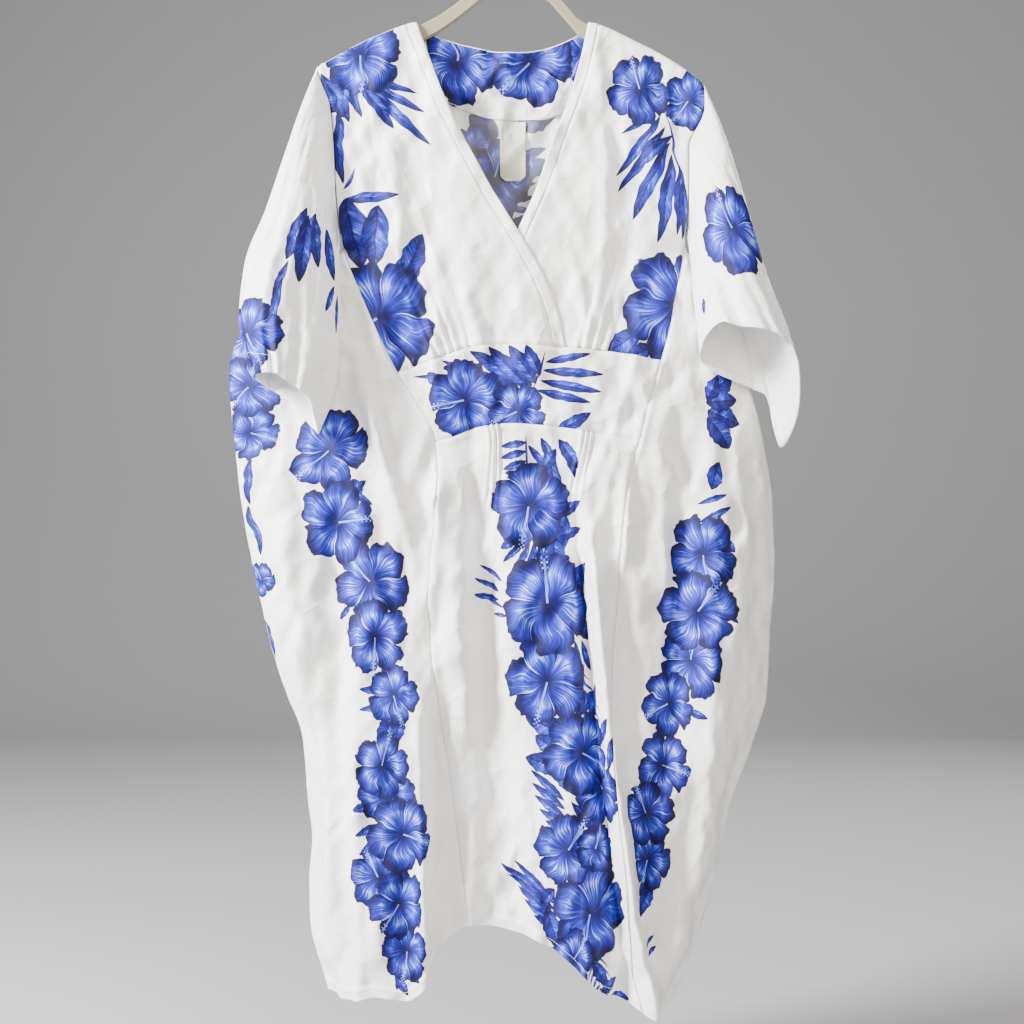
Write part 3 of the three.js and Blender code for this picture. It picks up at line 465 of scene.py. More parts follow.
def panel(face, first, last, left, right, columns, straight, top=None, bottom=None, gathered=None,
          lift=None, step=4.0, cloth=CLOTH, dips="lrtb", is_hemmed=False, row_places=panel_rows):
    """A panel of the body between two side lines and two end lines. It dips a little along its seams."""
    rows = row_places(first, last, step)
    seam, share, wave = columns
    end = first if gathered == "top" else last

    def place(column, drop):
        pull = np.exp(-np.abs(drop - end) / GATHER["drawn_in"]) * GATHER["hold"] if gathered else 0 * drop
        loose = share[column] + (seam[column] - share[column]) * np.minimum(pull, 1)
        return left(drop) + (right(drop) - left(drop)) * loose

    every = np.arange(len(seam))

    def settled(line, start):
        drop = np.full(len(seam), float(start))
        for _ in range(12):
            drop = line(place(every, drop))
        return drop

    tops = settled(top[0], first) if top else np.full(len(seam), float(first))
    lows = settled(bottom[0], last) if bottom else np.full(len(seam), float(last))
    row, column = np.meshgrid(rows, every, indexing="ij")
    drop = row.copy()
    if top:
        drop += (tops[column] - first) * (1 - smooth((row - first) / top[1]))
    if bottom:
        drop += (lows[column] - last) * (1 - smooth((last - row) / bottom[1]))
    x = place(column, drop)
    pull = np.exp(-np.abs(drop - end) / GATHER["reach"]) if gathered else 0
    tight = np.exp(-np.abs(drop - end) / GATHER["fine_reach"]) if gathered else 0
    out = wave[column] * GATHER["deep"] * pull + np.sin(wave[column] * 5) * GATHER["fine"] * tight
    if lift:
        out = out + lift(x, drop)
    edges = {
        "l": x - left(drop),
        "r": right(drop) - x,
        "t": row - first,
        "b": last - row,
    }
    for key in dips:
        edge = np.maximum(edges[key], 0)
        along = drop if key in "lr" else x
        pucker = 1 + 0.35 * np.sin(along / 3.1) + 0.3 * np.sin(along / 5.3)
        ridge = np.exp(-(((edge - SEAM["ridge_at"]) / SEAM["ridge_width"]) ** 2))
        out = out - SEAM["dip"] * np.exp(-edge / SEAM["dip_width"]) + SEAM["ridge"] * pucker * ridge
    if is_hemmed:
        out = out + HEM_FOLD["out"] * (edges["b"] < HEM_DEEP)
    outer = body_point(face, x, drop, out)
    thick = cloth + (HEM_FOLD["thick"] * (edges["b"] < HEM_DEEP) if is_hemmed else 0)
    inner = body_point(face, x, drop, out - thick)
    return outer, inner, flat_lay(outer, straight)


PRINT_LAYERS = {"frond": 2, "leaf": 6, "flower": 4}


def lay_print(piece, flat, corners, outer, motifs, is_front=None):
    """Gives every face the place of the motifs on it, as each motif's own coordinates at its corners."""
    middles = corners.mean(axis=1)
    layers = {
        (kind, k): np.zeros(corners.shape[:2] + (3,), np.float32)
        for kind, count in PRINT_LAYERS.items()
        for k in range(count)
    }
    taken = {key: np.zeros(len(corners), bool) for key in layers}
    seen = np.ones(outer.shape[:2], bool) if is_front is None else is_front

    def on_cloth(x, drop):
        gap = (outer[..., 0] - x) ** 2 + (outer[..., 2] + drop) ** 2
        gap[~seen] = 1e9
        near = np.unravel_index(np.argmin(gap), gap.shape)
        spare = np.array([x - outer[near][0], drop + outer[near][2]])
        return flat[near] + spare

    for number, (kind, *facts) in enumerate(motifs):
        seed = 1 + (number * 0.618) % 1
        if kind == "flower":
            x, drop, radius, wide = facts
            centre = on_cloth(x, drop)
            angle = 0.0
            half = np.array([radius * wide, radius])
        else:
            x0, drop0, x1, drop1, width = facts
            centre = on_cloth((x0 + x1) / 2, (drop0 + drop1) / 2)
            angle = np.arctan2(drop1 - drop0, x1 - x0)
            half = np.array([np.hypot(x1 - x0, drop1 - drop0) / 2, width])
        turn_back = np.array([[np.cos(angle), -np.sin(angle)], [np.sin(angle), np.cos(angle)]])
        local = (corners - centre) @ turn_back / half
        spot = (middles - centre) @ turn_back / half
        spare = 3.6 / half
        if kind == "flower":
            hit = np.hypot(*(spot / (1.04 + spare)).T) < 1
        elif kind == "leaf":
            narrow = 1.08 * np.clip(1 - spot[:, 0] ** 2, 0, 1) ** 0.75
            hit = (np.abs(spot[:, 0]) < 1 + spare[0]) & (np.abs(spot[:, 1]) < narrow + spare[1])
        else:
            hit = (np.abs(spot) < 1.15).all(axis=1)
        free = [k for k in range(PRINT_LAYERS[kind]) if not (taken[(kind, k)] & hit).any()]
        key = (kind, free[0] if free else PRINT_LAYERS[kind] - 1)
        layers[key][hit] = np.concatenate(
            [local[hit], np.full(local[hit].shape[:-1] + (1,), seed)], axis=-1
        ).astype(np.float32)
        taken[key] |= hit
    for (kind, k), values in layers.items():
        if not taken[(kind, k)].any():
            continue
        mark = piece.data.attributes.new(f"{kind}_{k}", "FLOAT_VECTOR", "CORNER")
        mark.data.foreach_set("vector", values.ravel())


def motif_group(name):
    """A node group that takes a motif's own coordinates, and gives its shade and where it covers."""
    group = bpy.data.node_groups.new(name, "ShaderNodeTree")
    group.interface.new_socket("Place", in_out="INPUT", socket_type="NodeSocketVector")
    group.interface.new_socket("Shade", in_out="OUTPUT", socket_type="NodeSocketFloat")
    group.interface.new_socket("Cover", in_out="OUTPUT", socket_type="NodeSocketFloat")
    start = group.nodes.new("NodeGroupInput").outputs[0]
    end = group.nodes.new("NodeGroupOutput")
    parts = wire(group, "ShaderNodeSeparateXYZ", start)
    present = sums(group, "GREATER_THAN", parts.outputs[2], 0.5)
    return group, parts.outputs[0], parts.outputs[1], parts.outputs[2], present, end


def times(tree, *inputs, clamp=False):
    return sums(tree, "MULTIPLY", *inputs, clamp=clamp)


def plus(tree, *inputs):
    return sums(tree, "ADD", *inputs)


def minus(tree, *inputs):
    return sums(tree, "SUBTRACT", *inputs)


def is_above(tree, *inputs):
    return sums(tree, "GREATER_THAN", *inputs)


def is_below(tree, *inputs):
    return sums(tree, "LESS_THAN", *inputs)


def streaks(group, x, y, seed, detail=2):
    return noise(group, wire(group, "ShaderNodeCombineXYZ", x, y, seed).outputs[0], 1, detail)


def curve_of(group, value, stops):
    """A plain number read off between stops."""
    return times(group, colours(group, value, [(place, (shade,) * 3) for place, shade in stops]), 1.0)


def hibiscus_print():
    """Five ruffled petals, dark in the throat and at the rim, streaked pale between, and a stamen."""
    group, x, y, seed, present, end = motif_group("hibiscus_print")
    squares = plus(group, times(group, x, x), times(group, y, y))
    radius = sums(group, "SQRT", squares)
    angle = sums(group, "ARCTAN2", y, x)
    wobble = streaks(group, times(group, x, 2.2), times(group, y, 2.2), seed, 0)
    turned = sums(group, "MULTIPLY_ADD", angle, 0.7958, times(group, seed, 7.0))
    petal = plus(group, turned, times(group, wobble, 0.5))
    share = minus(group, sums(group, "FRACT", petal), 0.5)
    out = sums(group, "ABSOLUTE", times(group, share, 2.0))
    notch = times(group, sums(group, "POWER", out, 4.5), -0.24)
    ruffle = streaks(group, times(group, x, 4.2), times(group, y, 4.2), seed, 1)
    rim = plus(group, sums(group, "MULTIPLY_ADD", ruffle, 0.28, 0.84), notch)
    cover = times(group, minus(group, rim, radius), 45.0, clamp=True)
    part = sums(group, "DIVIDE", radius, rim)
    base = curve_of(
        group, part, [(0, 0.03), (0.12, 0.12), (0.32, 0.46), (0.58, 0.72), (0.8, 0.4), (0.93, 0.06)])
    across = times(group, petal, 23.0)
    rays = streaks(group, across, times(group, radius, 1.3), seed, 2)
    lively = times(group, minus(group, rays, 0.5), 1.2)
    shade = plus(group, base, lively)
    tucked = curve_of(group, sums(group, "FRACT", petal), [(0, 0), (0.62, 0), (0.94, 0.5), (1, 0.6)])
    shade = minus(group, shade, times(group, tucked, part))
    line = is_below(group, sums(group, "FRACT", petal), 0.022)
    shade = plus(group, shade, times(group, line, times(group, part, 0.5)))
    lean = times(group, seed, 17.0)
    stalk_x = times(group, radius, sums(group, "COSINE", minus(group, angle, lean)))
    stalk_y = times(group, radius, sums(group, "SINE", minus(group, angle, lean)))
    thin = is_below(group, sums(group, "ABSOLUTE", stalk_y), 0.02)
    past_throat = is_above(group, stalk_x, 0.02)
    before_tip = is_below(group, stalk_x, 0.86)
    stalk = times(group, thin, times(group, past_throat, before_tip))
    beads = times(group, sums(group, "SINE", times(group, stalk_x, 62.0)),
                 sums(group, "SINE", sums(group, "MULTIPLY_ADD", stalk_y, 62.0, 1.5)))
    beside = is_below(group, sums(group, "ABSOLUTE", stalk_y), 0.085)
    outermost = is_above(group, stalk_x, 0.62)
    near = times(group, beside, times(group, outermost, is_below(group, stalk_x, 1.0)))
    dots = times(group, is_above(group, beads, 0.35), near)
    pale = sums(group, "MAXIMUM", stalk, dots)
    shade = plus(group, times(group, shade, minus(group, 1.0, pale)), times(group, pale, 0.78))
    cover = sums(group, "MAXIMUM", cover, times(group, pale, 0.8))
    group.links.new(shade, end.inputs[0])
    group.links.new(times(group, cover, present), end.inputs[1])
    return group


def leaf_print():
    """One broad pointed leaf or petal, its stem at one end, with a dark rib and slanting veins."""
    group, x, y, seed, present, end = motif_group("leaf_print")
    side = sums(group, "ABSOLUTE", y)
    shape = minus(group, 1.0, times(group, x, x))
    wobble = streaks(group, times(group, x, 3.0), 0.0, seed, 0)
    width = times(group, sums(group, "POWER", sums(group, "MAXIMUM", shape, 0.0), 0.75),
                 sums(group, "MULTIPLY_ADD", wobble, 0.5, 0.62))
    cover = times(group, minus(group, width, side), 18.0, clamp=True)
    long = sums(group, "MULTIPLY_ADD", x, 0.5, 0.5)
    base = curve_of(group, long, [(0, 0.12), (0.25, 0.4), (0.55, 0.66), (0.8, 0.36), (1, 0.05)])
    slant = minus(group, x, times(group, side, 0.45))
    veins = streaks(group, times(group, slant, 9.0), times(group, y, 1.6), seed, 2)
    shade = plus(group, base, times(group, minus(group, veins, 0.5), 1.1))
    rib = is_below(group, side, 0.05)
    shade = minus(group, shade, times(group, rib, 0.3))
    darker = times(group, is_above(group, y, 0.0), 0.22)
    towards_edge = sums(group, "DIVIDE", side, sums(group, "MAXIMUM", width, 0.05))
    edge = times(group, sums(group, "POWER", towards_edge, 4.0), 0.3)
    shade = minus(group, minus(group, shade, darker), edge)
    group.links.new(shade, end.inputs[0])
    group.links.new(times(group, cover, present), end.inputs[1])
    return group


def frond_print():
    """A palm frond: slender leaflets in two ranks on a dark stem, dark at their roots and tips."""
    group, x, y, seed, present, end = motif_group("frond_print")
    side = sums(group, "ABSOLUTE", y)
    bend = times(group, times(group, side, side), 0.28)
    rank = minus(group, minus(group, x, times(group, side, 0.34)), bend)
    other = times(group, is_above(group, y, 0.0), 0.45)
    offset = plus(group, other, times(group, seed, 5.0))
    count = sums(group, "MULTIPLY_ADD", rank, 4.2, offset)
    share = sums(group, "ABSOLUTE", minus(group, sums(group, "FRACT", count), 0.5))
    odd = streaks(group, sums(group, "FLOOR", count), sums(group, "SIGN", y), seed, 0)
    shape = minus(group, 1.0, times(group, rank, rank))
    longest = times(group, sums(group, "POWER", sums(group, "MAXIMUM", shape, 0.001), 0.4),
                   sums(group, "MULTIPLY_ADD", odd, 0.5, 0.66))
    part = sums(group, "DIVIDE", side, longest)
    left_over = sums(group, "MAXIMUM", minus(group, 1.0, part), 0.0)
    width = times(group, sums(group, "POWER", left_over, 0.55),
                 sums(group, "MULTIPLY_ADD", times(group, part, 3.0, clamp=True), 0.3, 0.14))
    leaflet = times(group, minus(group, width, share), 14.0, clamp=True)
    on_stem = is_below(group, side, 0.025)
    stem = times(group, on_stem, is_below(group, sums(group, "ABSOLUTE", x), 0.95))
    inside = is_below(group, sums(group, "ABSOLUTE", rank), 1.0)
    cover = sums(group, "MAXIMUM", times(group, leaflet, inside), stem)
    base = curve_of(group, part, [(0, 0.04), (0.2, 0.3), (0.5, 0.62), (0.75, 0.34), (1, 0.04)])
    grain = streaks(group, times(group, count, 7.0), times(group, side, 2.0), seed, 1)
    shade = plus(group, base, times(group, minus(group, grain, 0.5), 0.9))
    shade = times(group, shade, minus(group, 1.0, stem))
    group.links.new(shade, end.inputs[0])
    group.links.new(times(group, cover, present), end.inputs[1])
    return group


def printed_cloth():
    """White lustrous cloth, tinted cream in random patches partly as painted warm shade, with the blue print
    on top. The print shows paler on the inside.
    """
    material, tree, shader = new_finish("printed_cloth")
    groups = {"frond": frond_print(), "leaf": leaf_print(), "flower": hibiscus_print()}
    shade, cover = 0.5, 0.0
    for kind, count in PRINT_LAYERS.items():
        for k in range(count):
            place = wire(tree, "ShaderNodeAttribute", attribute_name=f"{kind}_{k}").outputs["Vector"]
            motif = tree.nodes.new("ShaderNodeGroup")
            motif.node_tree = groups[kind]
            tree.links.new(place, motif.inputs[0])
            on_top, covers = motif.outputs["Shade"], motif.outputs["Cover"]
            shade = wire(tree, "ShaderNodeMix", covers, None, shade, on_top, data_type="FLOAT").outputs[0]
            cover = sums(tree, "MAXIMUM", cover, covers)
    ink = colours(tree, shade, [
        (0.0, (0.002, 0.001, 0.035)), (0.22, (0.004, 0.004, 0.11)), (0.45, (0.009, 0.013, 0.28)),
        (0.64, (0.03, 0.05, 0.53)), (0.82, (0.22, 0.33, 0.88)), (1.0, (0.74, 0.82, 1.0)),
    ])
    inside = wire(tree, "ShaderNodeAttribute", attribute_name="inside").outputs["Fac"]
    strength = times(tree, cover, sums(tree, "MULTIPLY_ADD", inside, -0.16, 1.0))
    lay = tree.nodes.new("ShaderNodeUVMap").outputs["UV"]
    # The cloth's off-white varies in random patches from cream to cool white. The cream is partly the cloth's
    # own tone and partly painted warm shade.
    off_white_and_painted_warm_shade = colours(tree, noise(tree, lay, 9, 1), [(0.3, (0.885, 0.86, 0.8)), (0.7, (0.93, 0.93, 0.935))])
    colour = tree.nodes.new("ShaderNodeMix")
    colour.data_type = "RGBA"
    tree.links.new(strength, colour.inputs["Factor"])
    tree.links.new(off_white_and_painted_warm_shade, colour.inputs[6])
    tree.links.new(ink, colour.inputs[7])
    tree.links.new(colour.outputs[2], shader.inputs["Base Color"])
    shader.inputs["Sheen Weight"].default_value = 0.03
    shader.inputs["Sheen Roughness"].default_value = 0.4
    shader.inputs["Specular IOR Level"].default_value = 0.3
    slub = wire(tree, "ShaderNodeMapping", lay)
    slub.inputs["Scale"].default_value = (900, 2600, 1)
    threads = noise(tree, slub.outputs["Vector"], 1, 1)
    crease = sums(tree, "ABSOLUTE", minus(tree, noise(tree, lay, 15), 0.5))
    crease = sums(tree, "POWER", crease, 0.76)
    weave = bump(tree, threads, 0.3, 0.00012)
    tree.links.new(bump(tree, crease, 0.7, 0.009, under=weave), shader.inputs["Normal"])
    gloss = sums(tree, "MULTIPLY_ADD", threads, 0.12, 0.34)
    gloss = plus(tree, gloss, times(tree, cover, 0.3))
    tree.links.new(gloss, shader.inputs["Roughness"])
    return material


CLOTH_FINISH = printed_cloth()


def finish_cloth(name, made, motifs, area, flat_size, is_front=None, **tube):
    """Makes a panel's mesh and lays the print on it.

    It gives back the piece and its two grids of points, which the rows of stitches follow.
    """
    outer, inner, flat = made
    piece, corners = cloth_object(name + "_cloth", outer, inner, flat, **tube)
    lay_print(piece, flat, corners, outer, motifs, is_front)
    piece.data.materials.append(CLOTH_FINISH)
    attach(piece, "root")
    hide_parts(name)
    return piece, outer, inner


sewn_rows = []


def sew(outer, inner, row=slice(None), column=slice(None), is_inside=False):
    """Marks a line of the cloth where a row of stitches runs, just proud of its surface."""
    seen, hidden = (inner, outer) if is_inside else (outer, inner)
    way = (seen - hidden)[row, column]
    way = way / np.linalg.norm(way, axis=-1, keepdims=True)
    sewn_rows.append(seen[row, column] + 0.12 * way)


def back_end(x):
    in_neck = (x > BACK_NECK[0][0]) & (x < BACK_NECK[-1][0])
    return np.where(in_neck, read(BACK_NECK, x), shoulder(x))


BACK_PRINT = [
    ("leaf", -14, 283, -52, 257, 15.2), ("flower", -45, 297, 32, 1), ("leaf", 4, 272, 52, 257, 16.4),
    ("leaf", 5, 328, 42, 309, 14.1), ("leaf", 0, 309, 40, 295, 8.2), ("leaf", -16, 335, 12, 407, 1.9),
    ("leaf", -11, 347, 29, 335, 4.7), ("leaf", -6, 356, 27, 351, 4.7), ("leaf", -2, 365, 22, 366, 4.7),
    ("leaf", 2, 375, 18, 382, 4.1), ("leaf", -12, 344, -28, 328, 4.7), ("leaf", -8, 356, -26, 344, 4.7),
    ("leaf", 9, 403, 14, 424, 4.7),
]
for x, from_drop, to_drop in ((-6, 330, 1150), (-190, 560, 1180), (196, 560, 1180)):
    for k, drop in enumerate(np.arange(from_drop, to_drop, 74)):
        sway = 16 * np.sin(drop / 83 + x)
        BACK_PRINT.append(("flower", x + sway, drop, 44 + 9 * np.sin(k * 2.3 + x), 1))
        if k % 2:
            BACK_PRINT.append(("leaf", x + sway, drop + 30, x + sway - 62, drop + 58, 13))
            BACK_PRINT.append(("leaf", x + sway, drop + 34, x + sway + 58, drop + 66, 12))
for x, drop, lean in ((-8, 420, 30), (-4, 700, -34), (6, 980, 26)):
    BACK_PRINT.append(("frond", x + lean, drop, x - lean, drop + 150, 62))

_, back_outer, back_inner = finish_cloth(
    "back_panel",
    panel("back", SHOULDER_TIP, HEM, left_side, right_side, panel_columns(150, "both"), 0,
          top=(back_end, SHOULDER_SETTLE), bottom=(lambda x: read(BACK_HEM, x), HEM_SETTLE), step=4.6,
          dips="lr", is_hemmed=True),
    BACK_PRINT,
    area=0.6186,
    flat_size=(0.702, 1.13),
)

# The facing: a shaped strip of the same print that neatens the inside of the back neck. It is sewn on
# along the neck edge and lies flat on the back's inner face.
FACING_EDGE = [(-92, 236), (-66, 249), (-8, 264), (32, 264), (53, 258), (74, 246)]
FACING_PRINT = [
    ("flower", -63, 197, 53, 1), ("flower", 21, 197, 55, 1), ("flower", 84, 187, 37, 1),
]
INNER_FACE = -2.1


def facing_left(drop):
    return -92 - 8 * (1 - smooth((drop - 165) / 60))


def facing_right(drop):
    return 74 + 10 * (1 - smooth((drop - 165) / 60))


def narrow_rows(first, last, step):
    return np.concatenate([[first, first + 1], np.arange(first + 3, last - 2, step), [last - 1, last]])


facing_sheet, facing_outer, facing_inner = finish_cloth(
    "back_neck_facing",
    panel("back", 166, 240, facing_left, facing_right,
          panel_columns(84), 0, top=(lambda x: read(BACK_NECK, x) + 1.5, 74),
          bottom=(lambda x: read(FACING_EDGE, x), 74), lift=lambda x, drop: INNER_FACE + 0 * x,
          step=1.6, cloth=0.7, dips="", row_places=narrow_rows),
    FACING_PRINT,
    area=0.01422,
    flat_size=(0.193, 0.103),
)
sew(back_outer, back_inner, row=-6)
sew(facing_outer, facing_inner, row=-3, is_inside=True)
right_way = np.ones(len(facing_sheet.data.polygons), np.float32)
facing_sheet.data.attributes["inside"].data.foreach_get("value", right_way)
facing_sheet.data.attributes["inside"].data.foreach_set("value", 1 - right_way)

# The label: a short length of pale woven tape, sewn on below the facing by its top edge. Its lower
# corners are cut off, and it curls a little away from the back.
LABEL = {"left": -14, "right": 16, "top": 266, "bottom": 333, "corner": 7, "curl": 2.2}


def label_curl(x, drop):
    down = np.clip((drop - LABEL["top"]) / (LABEL["bottom"] - LABEL["top"]), 0, 1)
    return INNER_FACE - LABEL["curl"] * down**2 - 0.5 * np.sin(down * 9) * (1 - down)


def label_half(drop):
    low = np.clip((drop - (LABEL["bottom"] - LABEL["corner"])) / LABEL["corner"], 0, 1)
    return (LABEL["right"] - LABEL["left"]) / 2 - LABEL["corner"] * low**1.6


def label_finish():
    material, tree, shader = new_finish("label_tape")
    lay = tree.nodes.new("ShaderNodeUVMap").outputs["UV"]
    ribs = wire(tree, "ShaderNodeTexWave", lay, bands_direction="Y")
    ribs.inputs["Scale"].default_value = 420
    cream = colours(tree, noise(tree, lay, 60), [(0, (0.74, 0.72, 0.62)), (1, (0.86, 0.84, 0.76))])
    tree.links.new(cream, shader.inputs["Base Color"])
    tree.links.new(bump(tree, ribs.outputs["Fac"], 0.4, 0.0002), shader.inputs["Normal"])
    shader.inputs["Roughness"].default_value = 0.6
    return material


label_middle = (LABEL["left"] + LABEL["right"]) / 2
label_made = panel(
    "back", LABEL["top"], LABEL["bottom"], lambda drop: label_middle - label_half(drop),
    lambda drop: label_middle + label_half(drop), panel_columns(20), 0, lift=label_curl, step=1.6,
    cloth=0.6, dips="", row_places=narrow_rows)
label, _ = cloth_object("care_label_tape", *label_made)
label.data.materials.append(label_finish())
sew(*label_made[:2], row=2, is_inside=True)
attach(label, "root")
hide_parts("care_label")

# The two bodice fronts: each is cut from the printed cloth, runs over the shoulder to the hanger, and is
# gathered below the chest into the midriff band. The wearer's right front laps over the left one.
NECK_EDGES = [
    (150, -112, 89), (197, -95, 79), (250, -75, 63), (301, -49, 44), (354, -21, 26), (404, 9, 4),
    (447, 33, -15), (487, 50, -32), (540, 62, -52),
]
PRINCESS = [
    (405, -198.5, 202), (418, -194, 199.6), (522, -150, 177), (562, -130, 166), (641, -87, 144),
    (684, -84, 133), (731, -88, 126), (823, -95, 119), (940, -84, 112), (1032, -70, 116),
    (1125, -58, 125), (1196, -49, 132), (1300, -38, 144),
]
BAND_TOP = [
    (-130, 562), (-112, 556), (-49, 534), (-14, 530), (56, 533), (102, 537), (170, 548),
]
BAND_TOP_DROP = 562
BAND_BOTTOM_DROP = 640
NECK_BAND_WIDTH = 12
LAP_STEP = 2.6
RIGHT_BODICE_RUNS = [(0.25, 0.22, 0), (0.51, 0.56, 5), (1, 1, 0)]
LEFT_BODICE_RUNS = [(0.52, 0.46, 0), (0.71, 0.74, 4), (1, 1, 0)]


def neck_upper(drop):
    return read(NECK_EDGES, drop, 1)


def neck_under(drop):
    return read(NECK_EDGES, drop, 2)


def right_band_edge(drop):
    return neck_upper(drop) - NECK_BAND_WIDTH


def left_band_edge(drop):
    return neck_under(drop) + NECK_BAND_WIDTH


def lap_under(x, drop):
    return -LAP_STEP * smooth((neck_upper(drop) + 30 - x) / 22)


def princess_left(drop):
    return read(PRINCESS, drop, 1)


def princess_right(drop):
    return read(PRINCESS, drop, 2)


def outer_left(drop):
    return np.where(drop < UNDERARM, left_side(drop), princess_left(drop))


def outer_right(drop):
    return np.where(drop < UNDERARM, right_side(drop), princess_right(drop))


def band_top(x):
    return read(BAND_TOP, x)


SHOULDER_END = (shoulder, SHOULDER_SETTLE)
RIGHT_BODICE_PRINT = [
    ("leaf", -184, 216, -108, 237, 5.7), ("leaf", -179, 221, -96, 261, 6.9),
    ("leaf", -177, 225, -90, 300, 8), ("leaf", -179, 225, -131, 280, 9.2),
    ("leaf", -195, 205, -172, 267, 9.2), ("leaf", -204, 205, -185, 272, 11.5),
    ("leaf", -216, 214, -189, 267, 11.5), ("leaf", -225, 234, -198, 260, 12.6),
    ("flower", -175, 193, 52, 1), ("leaf", -206, 257, -196, 345, 10.3), ("leaf", -196, 364, -127, 359, 8),
    ("leaf", -195, 352, -175, 326, 3.4), ("leaf", -192, 361, -173, 444, 25.3),
    ("leaf", -152, 370, -160, 444, 19.5), ("leaf", -131, 469, -100, 403, 19.5),
    ("flower", -152, 501, 70, 1),
]
LEFT_BODICE_PRINT = [
    ("flower", 147, 234, 43, 1), ("flower", 204, 246, 38, 1), ("leaf", 175, 246, 202, 380, 2.1),
    ("leaf", 175, 262, 118, 336, 6.9), ("leaf", 179, 276, 122, 354, 8),
    ("leaf", 184, 294, 134, 387, 10.3), ("leaf", 188, 308, 165, 414, 10.3),
    ("leaf", 195, 323, 188, 404, 8), ("leaf", 198, 340, 198, 409, 6.9), ("leaf", 172, 257, 126, 285, 5.7),
    ("leaf", 179, 248, 204, 277, 5.7), ("leaf", 186, 286, 133, 329, 9.2), ("flower", 184, 487, 67, 1),
    ("leaf", 149, 515, 107, 540, 16.1), ("leaf", 164, 533, 124, 549, 13.8),
]
finish_cloth(
    "front_bodice_r",
    panel("front", SHOULDER_TIP, BAND_TOP_DROP, outer_left, right_band_edge,
          panel_columns(60, runs=RIGHT_BODICE_RUNS), -90, top=SHOULDER_END, bottom=(band_top, BAND_SETTLE),
          gathered="bottom", step=3.2),
    RIGHT_BODICE_PRINT,
    area=0.0656,
    flat_size=(0.307, 0.405),
)
finish_cloth(
    "front_bodice_l",
    panel("front", SHOULDER_TIP, BAND_TOP_DROP, left_band_edge, outer_right,
          panel_columns(60, runs=LEFT_BODICE_RUNS), 100, top=SHOULDER_END, bottom=(band_top, BAND_SETTLE),
          gathered="bottom", lift=lap_under, step=3.2),
    LEFT_BODICE_PRINT,
    area=0.0651,
    flat_size=(0.294, 0.391),
)

# The neck bands: a doubled strip of the white cloth, 12 mm wide, folded over each edge of the V neck and
# stitched down. They cross with the fronts, and both end in the midriff band.


def band_round(low, high):
    def lift(x, drop):
        share = np.clip((x - low(drop)) / (high(drop) - low(drop)), 0, 1)
        return 0.55 * np.sqrt(np.clip(1 - (2 * share - 1) ** 4, 0, 1)) - 0.3
    return lift


right_round = band_round(right_band_edge, neck_upper)
left_round = band_round(neck_under, left_band_edge)
_, band_outer, band_inner = finish_cloth(
    "neck_band_r",
    panel("front", SHOULDER_TIP, BAND_TOP_DROP, right_band_edge, neck_upper, panel_columns(8), 0,
          top=SHOULDER_END, bottom=(band_top, BAND_SETTLE), lift=right_round, cloth=1.6, step=3.2, dips="b"),
    [],
    area=0.00553,
    flat_size=(0.014, 0.42),
)
sew(band_outer, band_inner, column=1)
_, band_outer, band_inner = finish_cloth(
    "neck_band_l",
    panel("front", SHOULDER_TIP, BAND_TOP_DROP, neck_under, left_band_edge, panel_columns(8), 0,
          top=SHOULDER_END, bottom=(band_top, BAND_SETTLE),
          lift=lambda x, drop: left_round(x, drop) + lap_under(x, drop), cloth=1.6, step=3.2, dips="b"),
    [],
    area=0.00556,
    flat_size=(0.014, 0.42),
)
sew(band_outer, band_inner, column=-2)

# The midriff band: a straight, plainly stretched strip of the print below the chest. The bodice is
# gathered into its upper seam and the skirt into its lower one.
BAND_BOTTOM = [
    (-87, 640), (-72, 637), (-37, 624), (-2, 620), (56, 625), (90, 630), (144, 640),
]
MIDRIFF_PRINT = [
    ("leaf", 40, 538, 25, 583, 1.8), ("leaf", 35, 551, 91, 541, 5.7), ("leaf", 33, 560, 106, 565, 6.8),
    ("leaf", 29, 572, 103, 585, 6.8), ("leaf", 27, 583, 91, 597, 6.8), ("leaf", 26, 578, -52, 538, 11.3),
    ("leaf", 24, 583, -29, 533, 12.5), ("leaf", 29, 576, -5, 531, 12.5), ("leaf", 32, 567, 16, 531, 9.1),
    ("leaf", 15, 590, -43, 560, 9.1), ("leaf", 45, 633, 92, 608, 9.1), ("leaf", -39, 569, -121, 567, 4.5),
    ("leaf", -41, 563, -82, 549, 4.5), ("leaf", -77, 631, -23, 619, 6.8), ("flower", -54, 594, 49, 1),
    ("flower", 6, 607, 36, 1), ("leaf", -82, 576, -100, 563, 7.9),
]


def band_bottom(x):
    return read(BAND_BOTTOM, x)


finish_cloth(
    "midriff_band",
    panel("front", BAND_TOP_DROP, BAND_BOTTOM_DROP, princess_left, princess_right, panel_columns(90), 0,
          top=(band_top, BAND_SETTLE), bottom=(band_bottom, BAND_SETTLE), step=2.4),
    MIDRIFF_PRINT,
    area=0.0267,
    flat_size=(0.325, 0.11),
)


